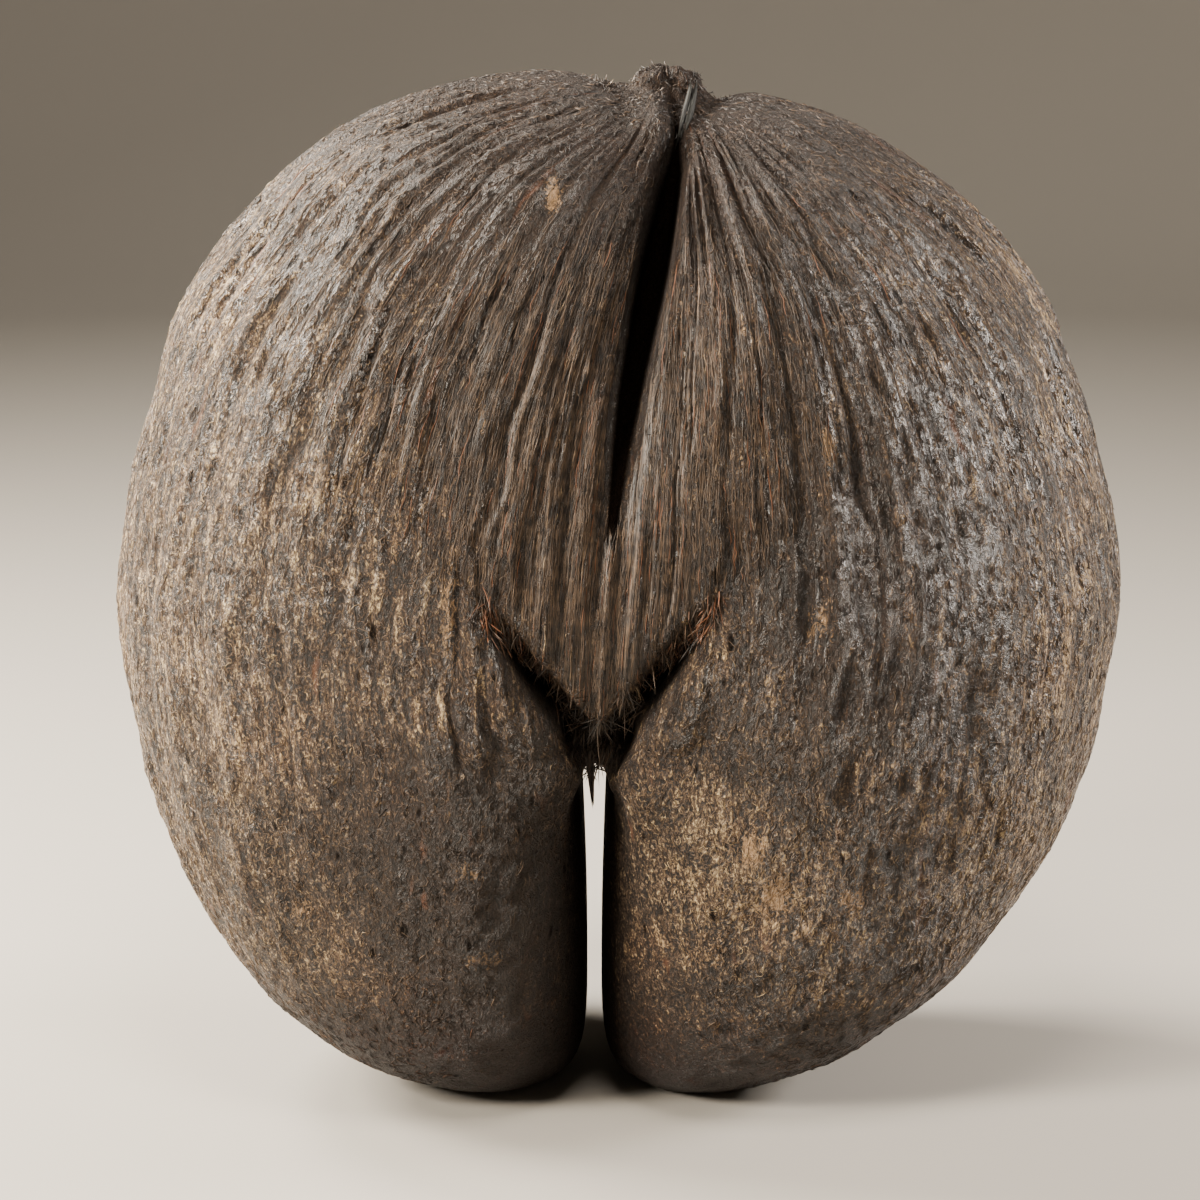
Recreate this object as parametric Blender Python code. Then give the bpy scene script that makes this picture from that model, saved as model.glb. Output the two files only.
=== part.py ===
"""Coco de mer nut: the dried, two-lobed seed, standing on the tips of its lobes.

The nut is one closed body, lofted through rings. The first ring is the stem scar at the top and the
last is the roof of the slit between the lobes. Every ring runs once round the nut: low at the two
sides and high in the middle, where it passes over the fork of the lobes. The lines that join equal
angles on the rings run the way the fibres of the husk grow, so ribs are raised along them.
X is the width, Y the depth with the front at -Y, and Z the height.
"""
import bpy
import numpy as np

# Driving dimensions in metres: the finished nut
WIDTH = 0.292
DEPTH = 0.184
HEIGHT = 0.300

# Mesh counts: columns round the nut and rows from the scar to the roof of the slit
COLUMNS = 108
ROWS = 56
# How far the columns crowd to the front, and to the front and back alike (0 is even)
FRONT_CROWDING = 0.35
BOTH_CROWDING = 0.17
# Share of the rows and the place on the way from scar to slit that it reaches
ROW_SPREAD = ((0.0, 0.0), (0.07, 0.032), (0.18, 0.12), (0.43, 0.45), (0.72, 0.70), (0.90, 0.88), (1.0, 1.0))

# Everything from here to the builder is in millimetres, for the nut drawn at its real size
FORK_X = -2.8
SLIT_WIDTH = 4.6
SLIT_LEFT = FORK_X - SLIT_WIDTH / 2
SLIT_RIGHT = FORK_X + SLIT_WIDTH / 2
# The slit is wider near its roof: by how much on each side, how fast that starts, and how far down it reaches
SLIT_SPREAD = 6.5
SLIT_SPREAD_START = 0.35
SLIT_SPREAD_REACH = 0.58
SLIT_SPREAD_PLACES = (0.80, 0.86, 0.96, 1.0)
FOOT_SINK = -0.9

# The rings, from the scar down and round into the slit. Each row has the ring's place on the way (0 to 1),
# the middle's x, front z and back z, the left side's x and z, the right side's x and z, the half depth in
# front and behind, the squareness of the ring, how fast it leaves the middle (1 is even) and the power of
# its dip to the sides (2 is a round arch, 1 is a gable)
RINGS = (
    # scar
    (0.000, 18.0, 303.0, 303.0, 18.0, 303.0, 18.0, 303.0, 0.0, 0.0, 2.0, 1.0, 2.00),
    # rim of the scar
    (0.014, 18.5, 301.0, 300.5, 11.0, 301.5, 26.0, 300.0, 7.5, 7.5, 2.0, 1.0, 2.00),
    # foot of the scar
    (0.034, 19.5, 294.0, 292.5, 6.5, 298.3, 30.5, 293.2, 13.5, 14.0, 2.0, 1.0, 2.00),
    # crown
    (0.090, 20.3, 285.5, 282.0, -21.0, 302.3, 44.5, 294.3, 36.0, 36.0, 2.0, 1.0, 2.00),
    # shoulders
    (0.175, 16.2, 266.0, 264.0, -71.5, 288.3, 74.0, 284.3, 59.0, 61.0, 2.1, 1.0, 2.00),
    (0.250, 10.8, 240.0, 240.0, -100.5, 263.5, 107.0, 261.3, 74.0, 77.0, 2.2, 1.0, 2.00),
    # breast
    (0.330, 5.2, 208.0, 208.0, -123.5, 228.0, 131.0, 228.0, 84.5, 88.0, 2.3, 1.0, 2.00),
    # widest ring
    (0.440, 0.6, 165.0, 165.0, -139.5, 165.0, 149.8, 165.0, 89.5, 93.0, 2.4, 1.0, 2.00),
    # lobes below the fork
    (0.520, -1.2, 136.0, 138.0, -138.0, 120.0, 146.0, 118.0, 88.5, 92.0, 2.5, 1.0, 2.00),
    (0.590, -1.8, 123.0, 121.0, -129.5, 81.0, 135.5, 80.5, 86.0, 89.5, 2.6, 1.0, 1.80),
    (0.650, -2.3, 119.0, 113.0, -115.0, 50.5, 118.5, 54.0, 83.5, 86.5, 2.8, 1.0, 1.50),
    (0.705, FORK_X, 117.5, 108.0, -95.5, 26.0, 95.5, 28.0, 80.5, 83.0, 3.0, 1.0, 1.25),
    (0.750, FORK_X, 116.8, 105.5, -69.5, 8.5, 66.0, 9.3, 76.5, 78.0, 3.1, 1.0, 1.15),
    # soles of the lobes
    (0.800, FORK_X, 116.2, 104.5, -36.0, FOOT_SINK, 31.0, FOOT_SINK, 70.0, 71.0, 3.1, 0.9, 1.15),
    (0.840, FORK_X, 115.6, 104.0, -13.5, 2.6, 7.5, 2.6, 63.0, 63.0, 3.0, 0.6, 1.25),
    # walls of the slit
    (0.870, FORK_X, 115.0, 104.0, SLIT_LEFT - 0.4, 15.0, SLIT_RIGHT + 0.4, 15.0, 54.0, 54.0, 2.8, 0.4, 1.50),
    (0.930, FORK_X, 111.5, 106.0, SLIT_LEFT, 56.0, SLIT_RIGHT, 56.0, 29.0, 29.0, 2.4, 0.4, 1.90),
    # hollow under the roof of the slit
    (0.955, FORK_X, 110.5, 107.0, FORK_X - 3.1, 78.0, FORK_X + 3.1, 78.0, 19.0, 19.0, 2.3, 0.5, 1.95),
    (0.975, FORK_X, 110.0, 108.0, FORK_X - 5.2, 92.0, FORK_X + 5.2, 92.0, 12.0, 12.0, 2.1, 0.7, 2.00),
    (1.000, FORK_X, 109.0, 109.0, FORK_X, 109.0, FORK_X, 109.0, 0.0, 0.0, 2.0, 0.7, 2.00),
)

# Valleys between the lobes: place on the way, depth and half width in front, depth and half width behind
VALLEYS = (
    (0.000, 0.0, 20.0, 0.0, 20.0),
    (0.040, 0.0, 20.0, 2.0, 20.0),
    (0.100, 5.0, 16.0, 12.0, 18.0),
    (0.200, 9.0, 17.0, 21.0, 21.0),
    (0.300, 8.0, 20.0, 26.0, 23.0),
    (0.400, 5.0, 25.0, 28.0, 24.0),
    (0.480, 5.5, 28.0, 30.0, 25.0),
    (0.560, 12.0, 28.0, 32.0, 25.0),
    (0.620, 17.0, 26.0, 32.0, 24.0),
    (0.700, 16.0, 21.0, 26.0, 21.0),
    (0.800, 13.0, 16.0, 16.0, 18.0),
    (0.870, 5.0, 12.0, 6.0, 13.0),
    (0.910, 0.0, 10.0, 0.0, 10.0),
    (1.000, 0.0, 10.0, 0.0, 10.0),
)

# Cleft between the shoulders in front: place on the way, depth and half width
CLEFT = (
    (0.000, 0.0, 2.0),
    (0.030, 0.8, 1.6),
    (0.080, 3.0, 1.8),
    (0.120, 10.0, 3.2),
    (0.200, 14.0, 3.8),
    (0.290, 11.0, 4.2),
    (0.350, 5.5, 4.6),
    (0.400, 2.2, 5.0),
    (0.450, 0.0, 5.0),
    (1.000, 0.0, 5.0),
)

# Fold on each side of the fibrous fan in the middle. It rises outwards from the fan's tip as
# height = rise * run ** bend, and its line starts this far from the middle
FAN_TIP_X = -1.6
FOLD_START_Z = 105.0
FOLD_RISE = 4.9
FOLD_BEND = 0.7
FOLD_LEAST_RUN = 0.5
# Run outwards from the tip, depth of the fold
FOLD_DEPTHS = (
    (0.0, 9.0),
    (5.0, 14.0),
    (12.0, 16.0),
    (20.0, 15.0),
    (25.0, 10.0),
    (29.0, 4.0),
    (34.0, 1.0),
    (48.0, 0.0),
)
FOLD_FAN_SIDE = 3.3
FOLD_LOBE_SIDE = 4.2
LOBE_SWELL = 5.0
LOBE_SWELL_BELOW = 14.0
LOBE_SWELL_WIDTH = 10.0
FOLD_ENDS = (0.71, 0.80)
# Row of the mesh that follows the folds, where it may run, how far its neighbours lean towards it, and the
# shares of the columns, from the front, at which it stops following fully and at all
FOLD_ROW = 0.59
FOLD_ROW_RANGE = (0.48, 0.69)
FOLD_ROW_TRIALS = 60
FOLD_ROW_WINDOW = 0.26
FOLD_ROW_FULL = 0.12
FOLD_ROW_END = 0.22

# Beak of fibre that hangs from the scar down the left side of the cleft
BEAK_X = -5.5
BEAK_PLACE = 0.058
BEAK_LENGTH = 0.040
BEAK_HALF_WIDTH = 5.0
BEAK_HEIGHT = 4.2

# Relief: height of the lumps and the distance from lump to lump, and height of the ribs
LUMPS = ((1.3, 48.0), (0.7, 21.0))
SCAR_LUMP = 1.6
SCAR_LUMP_SPACING = 5.0
SCAR_LUMP_REACH = 0.05
RIBS = COLUMNS // 3
RIB_HEIGHT = 1.3
RIB_FADE_RADIUS = 85.0
# Usual strength of a rib, how much it comes and goes, over how many ribs, and how often on its way down
RIB_STRENGTH = 0.5
RIB_CHANGE = 0.9
RIB_CHANGE_RIBS = 1.7
RIB_CHANGE_TIMES = 7.0
# Below the fork the ribs fade beside the slit: places where that starts and ends, the share lost and
# the half width of the plain strip
RIB_LOSS_PLACES = (0.52, 0.68)
RIB_LOSS = 0.85
PLAIN_BESIDE_SLIT = 60.0
# Places between which the relief ends, at the mouth of the slit
RELIEF_ENDS = (0.78, 0.86)
# How sharply what belongs to the front ends at the sides
FRONT_EDGE = 3.0
SEED = 7

HUSK_COLOUR = (0.078, 0.058, 0.043, 1.0)
HUSK_ROUGHNESS = 0.62


def through(keys, place):
    """Smooth curve through the keys, column by column: cubics with slopes taken from the neighbours."""
    keys = np.array(keys, dtype=float)
    at, values = keys[:, 0], keys[:, 1:]
    slopes = np.empty_like(values)
    slopes[1:-1] = (values[2:] - values[:-2]) / (at[2:] - at[:-2])[:, None]
    slopes[0] = (values[1] - values[0]) / (at[1] - at[0])
    slopes[-1] = (values[-1] - values[-2]) / (at[-1] - at[-2])
    start = np.clip(np.searchsorted(at, place, side="right") - 1, 0, len(at) - 2)
    span = (at[start + 1] - at[start])[..., None]
    u = (place - at[start])[..., None] / span
    rise = (2 * u**3 - 3 * u**2 + 1) * values[start] + (3 * u**2 - 2 * u**3) * values[start + 1]
    lean = (u**3 - 2 * u**2 + u) * slopes[start] + (u**3 - u**2) * slopes[start + 1]
    return rise + span * lean


def noise(points, seed):
    """Smooth random heights from -1 to 1: random values on a cubic lattice, blended between its corners."""
    size = 32
    lattice = np.random.default_rng(seed).uniform(-1, 1, (size, size, size))
    low = np.floor(points).astype(int)
    part = points - low
    part = part * part * (3 - 2 * part)
    total = np.zeros(points.shape[:-1])
    for corner in np.ndindex(2, 2, 2):
        share = np.prod(np.where(corner, part, 1 - part), axis=-1)
        i, j, k = np.moveaxis((low + corner) % size, -1, 0)
        total += share * lattice[i, j, k]
    return total


def bell(distance, half_width):
    """Bell curve that is 1 in the middle."""
    return np.exp(-(distance / half_width)**2)


def ring_angles(u):
    """Angle round the nut at share u of the columns: closest together at the front, then at the back."""
    turn = 2 * np.pi * u
    return turn - FRONT_CROWDING * np.sin(turn) - BOTH_CROWDING * np.sin(2 * turn)


def ring_places(v):
    """Place from scar to slit at share v of the rows: closest together at the scar and at the fork."""
    shares, places = np.array(ROW_SPREAD).T
    return np.interp(v, shares, places)


def front_share(angle):
    """1 on the front, 0 on the back."""
    return np.clip(np.cos(angle) * FRONT_EDGE, 0, 1)


def form(angle, place):
    """Smooth body: rings that are squared ovals, dipping to the sides as the square of the way out."""
    ring = through(RINGS, place)
    middle_x, front_z, back_z, left_x, left_z, right_x, right_z, front_y, back_y, square, pinch, dip = (
        np.moveaxis(ring, -1, 0))
    front_dip, front_width, back_dip, back_width = np.moveaxis(through(VALLEYS, place), -1, 0)
    across, along = np.sin(angle), np.cos(angle)
    size = (np.abs(across)**square + np.abs(along)**square)**(1 / square)
    out = np.abs(across) / size
    deep = np.abs(along) / size
    side_x = np.where(across > 0, right_x, left_x)
    side_z = np.where(across > 0, right_z, left_z)
    middle_z = np.where(along > 0, front_z, back_z)
    x = middle_x + (side_x - middle_x) * out**pinch
    z = middle_z + (side_z - middle_z) * out**dip
    front = -(front_y - front_dip * bell(x - middle_x, front_width)) * deep
    back = (back_y - back_dip * bell(x - middle_x, back_width)) * deep
    spread = SLIT_SPREAD * np.interp(place, SLIT_SPREAD_PLACES, (0, 1, 1, 0))
    x = x + np.sign(across) * spread * out**SLIT_SPREAD_START * bell(out, SLIT_SPREAD_REACH)
    return np.stack([x, np.where(along > 0, front, back), z], -1)


def outwards(angle, place):
    """Direction square to the body, from steps along and across the rings."""
    step = 1e-3
    low = np.clip(place - step, 0, 1)
    high = np.clip(place + step, 0, 1)
    down = form(angle, high) - form(angle, low)
    round_it = form(angle + step, place) - form(angle - step, place)
    normal = np.cross(down, round_it)
    return normal / np.maximum(np.linalg.norm(normal, axis=-1, keepdims=True), 1e-9)


def cleft_relief(points, angle, place):
    """Deep cleft down the front middle, and the beak of fibre on its left at the top."""
    middle_x = through(RINGS, place)[..., 0]
    depth, half_width = np.moveaxis(through(CLEFT, place), -1, 0)
    run = points[..., 0] - middle_x
    beak = BEAK_HEIGHT * bell(run - BEAK_X, BEAK_HALF_WIDTH) * bell(place - BEAK_PLACE, BEAK_LENGTH)
    return front_share(angle) * (beak - np.maximum(depth, 0) * bell(run, half_width))


def fold_distance(points):
    """Run out from the fan's tip, and how far a point of the front lies above the line of the folds."""
    run = np.maximum(np.abs(points[..., 0] - FAN_TIP_X), FOLD_LEAST_RUN)
    height = FOLD_START_Z + FOLD_RISE * run**FOLD_BEND
    slope = FOLD_RISE * FOLD_BEND * run**(FOLD_BEND - 1)
    return run, (points[..., 2] - height) / np.sqrt(1 + slope**2)


def rows_along_fold(u, place):
    """Places moved so that one row runs along the folds in front, and its neighbours lean towards it."""
    column = u[0]
    trial = np.linspace(*FOLD_ROW_RANGE, FOLD_ROW_TRIALS)
    above = fold_distance(form(ring_angles(column)[None, :], trial[:, None]))[1]
    crossing = np.array([np.interp(0, np.maximum.accumulate(-side), trial) for side in above.T])
    share = np.minimum(column, 1 - column)
    reach = np.clip((FOLD_ROW_END - share) / (FOLD_ROW_END - FOLD_ROW_FULL), 0, 1)
    reach = reach * reach * (3 - 2 * reach)
    near = np.cos(np.clip((place - FOLD_ROW) / FOLD_ROW_WINDOW, -1, 1) * np.pi / 2)**2
    return place + (crossing - FOLD_ROW) * reach * near


def fold_relief(points, angle, place):
    """Folds that part the fan from the lower lobes: sharp on the fan's side, round on the lobes'."""
    run, above = fold_distance(points)
    runs, depths = np.array(FOLD_DEPTHS).T
    depth = np.interp(run, runs, depths)
    groove = np.where(above > 0, bell(above, FOLD_FAN_SIDE), bell(above, FOLD_LOBE_SIDE))
    swell = LOBE_SWELL * bell(above + LOBE_SWELL_BELOW, LOBE_SWELL_WIDTH) * depth / depths.max()
    ends = np.clip((FOLD_ENDS[1] - place) / (FOLD_ENDS[1] - FOLD_ENDS[0]), 0, 1)
    return front_share(angle) * ends * (swell - depth * groove)


def ribbed(points, place):
    """Share of the ribs that shows: all of it above the fork, little of it beside the slit."""
    lost = np.interp(place, RIB_LOSS_PLACES, (0, RIB_LOSS))
    return 1 - lost * bell(points[..., 0] - FORK_X, PLAIN_BESIDE_SLIT)


def husk_relief(points, u, place):
    """Lumps of the husk, the ragged scar, and ribs along the fibres that rise and sink as they run."""
    lumps = sum(height * noise(points / spacing, SEED + row)
                for row, (height, spacing) in enumerate(LUMPS))
    ragged = SCAR_LUMP * noise(points / SCAR_LUMP_SPACING, SEED + 5) * bell(place, SCAR_LUMP_REACH)
    radius = np.linalg.norm(points[..., :2], axis=-1)
    patches = np.stack([u * RIBS / RIB_CHANGE_RIBS, place * RIB_CHANGE_TIMES, 0 * u], -1)
    strength = RIB_STRENGTH + RIB_CHANGE * noise(patches, SEED + 9)
    strength = strength * np.clip(radius / RIB_FADE_RADIUS, 0, 1) * ribbed(points, place)
    ribs = RIB_HEIGHT * np.cos(2 * np.pi * RIBS * u) * strength
    # The walls of the slit stay plain and clear of each other
    return ragged + np.interp(place, RELIEF_ENDS, (1, 0)) * (lumps + ribs)


def nut_points(columns, rows):
    """Points of the nut in metres, row by row, sized to the driving dimensions and standing at z = 0."""
    u, place = np.meshgrid(np.arange(columns) / columns, ring_places(np.linspace(0, 1, rows)))
    place = rows_along_fold(u, place)
    angle = ring_angles(u)
    points = form(angle, place)
    relief = cleft_relief(points, angle, place) + fold_relief(points, angle, place)
    relief += husk_relief(points, u, place)
    # The two poles are single points, so their relief is left out
    relief[[0, -1]] = 0
    points = points + relief[..., None] * outwards(angle, place)
    points[..., 2] = np.maximum(points[..., 2], 0)
    low, high = points.min((0, 1)), points.max((0, 1))
    middle = np.array([(low[0] + high[0]) / 2, (low[1] + high[1]) / 2, low[2]])
    return (points - middle) * np.array([WIDTH, DEPTH, HEIGHT]) / (high - low)


def nut_faces(columns, rows):
    """Quads between the rows, and a fan of triangles round each pole."""
    row = np.arange(rows - 3)[:, None] * columns + 1
    here = np.arange(columns)
    after = (here + 1) % columns
    quads = np.stack([row + here, row + columns + here, row + columns + after, row + after], -1)
    last_row = 1 + (rows - 3) * columns
    bottom = last_row + columns
    top_fan = [(0, 1 + i, 1 + j) for i, j in zip(here, after)]
    bottom_fan = [(bottom, last_row + j, last_row + i) for i, j in zip(here, after)]
    return top_fan + [tuple(quad) for quad in quads.reshape(-1, 4)] + bottom_fan


def husk_material():
    """Dry fibrous husk: dark greyish brown, slightly polished by handling."""
    material = bpy.data.materials.new("husk")
    material.use_nodes = True
    shader = material.node_tree.nodes["Principled BSDF"]
    shader.inputs["Base Color"].default_value = HUSK_COLOUR
    shader.inputs["Roughness"].default_value = HUSK_ROUGHNESS
    shader.inputs["Metallic"].default_value = 0.0
    return material


def build_nut(collection):
    """One closed body in the collection."""
    points = nut_points(COLUMNS, ROWS)
    corners = np.concatenate([points[0, :1], points[1:-1].reshape(-1, 3), points[-1, :1]])
    mesh = bpy.data.meshes.new("nut")
    mesh.from_pydata(corners.tolist(), [], nut_faces(COLUMNS, ROWS))
    mesh.update()
    mesh.shade_smooth()
    mesh.materials.append(husk_material())
    nut = bpy.data.objects.new("nut", mesh)
    collection.objects.link(nut)


def main():
    for old in list(bpy.data.objects):
        bpy.data.objects.remove(old)
    collection = bpy.data.collections.new("coco_de_mer_nut")
    bpy.context.scene.collection.children.link(collection)
    build_nut(collection)


main()
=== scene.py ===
"""Looks of the coco de mer nut: a fine skin over the husk, its fibres and bristles, and their materials.

The skin repeats the rings of the plain solid with many more columns and rows. Its grid lines run the way the
fibres grow, so the same grid places the relief, the separate fibres and the patterns of the materials.
"""
import math

import bpy
import numpy as np
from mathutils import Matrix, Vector


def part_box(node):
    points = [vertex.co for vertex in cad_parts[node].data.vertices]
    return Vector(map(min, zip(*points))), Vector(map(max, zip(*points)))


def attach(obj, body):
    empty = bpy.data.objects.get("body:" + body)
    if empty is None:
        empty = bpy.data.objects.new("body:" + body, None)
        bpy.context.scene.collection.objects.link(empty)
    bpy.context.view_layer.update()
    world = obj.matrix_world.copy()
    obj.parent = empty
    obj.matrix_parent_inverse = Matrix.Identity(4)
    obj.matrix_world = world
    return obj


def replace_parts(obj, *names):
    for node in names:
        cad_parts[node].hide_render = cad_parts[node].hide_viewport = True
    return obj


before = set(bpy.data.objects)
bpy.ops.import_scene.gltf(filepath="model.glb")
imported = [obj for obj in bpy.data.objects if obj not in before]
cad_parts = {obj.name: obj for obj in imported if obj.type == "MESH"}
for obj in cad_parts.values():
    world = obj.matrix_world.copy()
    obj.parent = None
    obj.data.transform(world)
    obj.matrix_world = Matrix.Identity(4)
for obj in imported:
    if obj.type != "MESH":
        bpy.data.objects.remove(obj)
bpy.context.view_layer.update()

# The skin's grid: columns round the nut and rows from the scar to the roof of the slit
COLUMNS = 760
ROWS = 131
SEED = 7

# Numbers are in millimetres, for the nut drawn at its real size, up to the part on materials
FORK_X = -2.8
SLIT_WIDTH = 4.6
SLIT_LEFT = FORK_X - SLIT_WIDTH / 2
SLIT_RIGHT = FORK_X + SLIT_WIDTH / 2
SLIT_SPREAD = 6.5
SLIT_SPREAD_START = 0.35
SLIT_SPREAD_REACH = 0.58
SLIT_SPREAD_PLACES = (0.80, 0.86, 0.96, 1.0)
FOOT_SINK = -0.9
FRONT_CROWDING = 0.35
BOTH_CROWDING = 0.17
ROW_SPREAD = ((0.0, 0.0), (0.07, 0.032), (0.18, 0.12), (0.43, 0.45), (0.72, 0.70), (0.90, 0.88), (1.0, 1.0))

# The rings, from the scar down and round into the slit. Each row has the ring's place on the way (0 to 1),
# the middle's x, front z and back z, the left side's x and z, the right side's x and z, the half depth in
# front and behind, the squareness of the ring, how fast it leaves the middle (1 is even) and the power of
# its dip to the sides (2 is a round arch, 1 is a gable)
RINGS = (
    # scar
    (0.000, 18.0, 303.0, 303.0, 18.0, 303.0, 18.0, 303.0, 0.0, 0.0, 2.0, 1.0, 2.00),
    # rim of the scar
    (0.014, 18.5, 301.0, 300.5, 11.0, 301.5, 26.0, 300.0, 7.5, 7.5, 2.0, 1.0, 2.00),
    # foot of the scar
    (0.034, 19.5, 294.0, 292.5, 6.5, 298.3, 30.5, 293.2, 13.5, 14.0, 2.0, 1.0, 2.00),
    # crown
    (0.090, 20.3, 285.5, 282.0, -21.0, 302.3, 44.5, 294.3, 36.0, 36.0, 2.0, 1.0, 2.00),
    # shoulders
    (0.175, 16.2, 266.0, 264.0, -71.5, 288.3, 74.0, 284.3, 59.0, 61.0, 2.1, 1.0, 2.00),
    (0.250, 10.8, 240.0, 240.0, -100.5, 263.5, 107.0, 261.3, 74.0, 77.0, 2.2, 1.0, 2.00),
    # breast
    (0.330, 5.2, 208.0, 208.0, -123.5, 228.0, 131.0, 228.0, 84.5, 88.0, 2.3, 1.0, 2.00),
    # widest ring
    (0.440, 0.6, 165.0, 165.0, -139.5, 165.0, 149.8, 165.0, 89.5, 93.0, 2.4, 1.0, 2.00),
    # lobes below the fork
    (0.520, -1.2, 136.0, 138.0, -138.0, 120.0, 146.0, 118.0, 88.5, 92.0, 2.5, 1.0, 2.00),
    (0.590, -1.8, 123.0, 121.0, -129.5, 81.0, 135.5, 80.5, 86.0, 89.5, 2.6, 1.0, 1.80),
    (0.650, -2.3, 119.0, 113.0, -115.0, 50.5, 118.5, 54.0, 83.5, 86.5, 2.8, 1.0, 1.50),
    (0.705, FORK_X, 117.5, 108.0, -95.5, 26.0, 95.5, 28.0, 80.5, 83.0, 3.0, 1.0, 1.25),
    (0.750, FORK_X, 116.8, 105.5, -69.5, 8.5, 66.0, 9.3, 76.5, 78.0, 3.1, 1.0, 1.15),
    # soles of the lobes
    (0.800, FORK_X, 116.2, 104.5, -36.0, FOOT_SINK, 31.0, FOOT_SINK, 70.0, 71.0, 3.1, 0.9, 1.15),
    (0.840, FORK_X, 115.6, 104.0, -13.5, 2.6, 7.5, 2.6, 63.0, 63.0, 3.0, 0.6, 1.25),
    # walls of the slit
    (0.870, FORK_X, 115.0, 104.0, SLIT_LEFT - 0.4, 15.0, SLIT_RIGHT + 0.4, 15.0, 54.0, 54.0, 2.8, 0.4, 1.50),
    (0.930, FORK_X, 111.5, 106.0, SLIT_LEFT, 56.0, SLIT_RIGHT, 56.0, 29.0, 29.0, 2.4, 0.4, 1.90),
    # hollow under the roof of the slit
    (0.955, FORK_X, 110.5, 107.0, FORK_X - 3.1, 78.0, FORK_X + 3.1, 78.0, 19.0, 19.0, 2.3, 0.5, 1.95),
    (0.975, FORK_X, 110.0, 108.0, FORK_X - 5.2, 92.0, FORK_X + 5.2, 92.0, 12.0, 12.0, 2.1, 0.7, 2.00),
    (1.000, FORK_X, 109.0, 109.0, FORK_X, 109.0, FORK_X, 109.0, 0.0, 0.0, 2.0, 0.7, 2.00),
)

# Valleys between the lobes: place on the way, depth and half width in front, depth and half width behind
VALLEYS = (
    (0.000, 0.0, 20.0, 0.0, 20.0),
    (0.040, 0.0, 20.0, 2.0, 20.0),
    (0.100, 5.0, 16.0, 12.0, 18.0),
    (0.200, 9.0, 17.0, 21.0, 21.0),
    (0.300, 8.0, 20.0, 26.0, 23.0),
    (0.400, 5.0, 25.0, 28.0, 24.0),
    (0.480, 5.5, 28.0, 30.0, 25.0),
    (0.560, 12.0, 28.0, 32.0, 25.0),
    (0.620, 17.0, 26.0, 32.0, 24.0),
    (0.700, 16.0, 21.0, 26.0, 21.0),
    (0.800, 13.0, 16.0, 16.0, 18.0),
    (0.870, 5.0, 12.0, 6.0, 13.0),
    (0.910, 0.0, 10.0, 0.0, 10.0),
    (1.000, 0.0, 10.0, 0.0, 10.0),
)

# Cleft between the shoulders in front: place on the way, depth and half width
CLEFT = (
    (0.000, 0.0, 2.0),
    (0.030, 0.8, 1.6),
    (0.080, 3.0, 1.8),
    (0.120, 10.0, 3.2),
    (0.200, 14.0, 3.8),
    (0.290, 11.0, 4.2),
    (0.350, 5.5, 4.6),
    (0.400, 2.2, 5.0),
    (0.450, 0.0, 5.0),
    (1.000, 0.0, 5.0),
)

# Fold on each side of the fibrous fan in the middle. It rises outwards from the fan's tip as
# height = rise * run ** bend, and its line starts this far from the middle
FAN_TIP_X = -1.6
FOLD_START_Z = 105.0
FOLD_RISE = 4.9
FOLD_BEND = 0.7
FOLD_LEAST_RUN = 0.5
# Run outwards from the tip, depth of the fold
FOLD_DEPTHS = (
    (0.0, 9.0),
    (5.0, 14.0),
    (12.0, 16.0),
    (20.0, 15.0),
    (25.0, 10.0),
    (29.0, 4.0),
    (34.0, 1.0),
    (48.0, 0.0),
)
FOLD_FAN_SIDE = 3.3
FOLD_LOBE_SIDE = 4.2
LOBE_SWELL = 5.0
LOBE_SWELL_BELOW = 14.0
LOBE_SWELL_WIDTH = 10.0
FOLD_ENDS = (0.71, 0.80)
# Row of the mesh that follows the folds, where it may run, how far its neighbours lean towards it, and the
# shares of the columns, from the front, at which it stops following fully and at all
FOLD_ROW = 0.59
FOLD_ROW_RANGE = (0.48, 0.69)
FOLD_ROW_TRIALS = 60
FOLD_ROW_WINDOW = 0.26
FOLD_ROW_FULL = 0.12
FOLD_ROW_END = 0.22

# Beak of fibre that hangs from the scar down the left side of the cleft
BEAK_X = -5.5
BEAK_PLACE = 0.058
BEAK_LENGTH = 0.040
BEAK_HALF_WIDTH = 5.0
BEAK_HEIGHT = 4.2

# Relief of the plain solid, which the skin keeps
LUMPS = ((1.3, 48.0), (0.7, 21.0))
SCAR_LUMP = 1.6
SCAR_LUMP_SPACING = 5.0
SCAR_LUMP_REACH = 0.05
RIBS = 36
RIB_HEIGHT = 0.7
RIB_FADE_RADIUS = 85.0
RIB_STRENGTH = 0.5
RIB_CHANGE = 0.9
RIB_CHANGE_RIBS = 1.7
RIB_CHANGE_TIMES = 7.0
RIB_LOSS_PLACES = (0.52, 0.68)
RIB_LOSS = 0.85
PLAIN_BESIDE_SLIT = 60.0
RELIEF_ENDS = (0.78, 0.86)
FRONT_EDGE = 3.0

# Fine relief: height, distance from one to the next, and length. Ropes are round with sharp cracks between
# them, and crests are sharp with round hollows between them
ROPES = (2.3, 9.0, 70.0)
ROPE_CRACK = 0.22
ROPE_ROUNDNESS = 0.7
ROPE_MIDDLE = 0.8
ROPE_PATCHES = 45.0
CRESTS = ((1.1, 4.8, 34.0), (0.6, 2.9, 15.0))
LOBE_CRESTS = ((1.0, 7.5, 36.0), (0.7, 3.6, 11.0))
CREST_SHARPNESS = 2.2
CREST_PATCHES = 34.0
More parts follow.
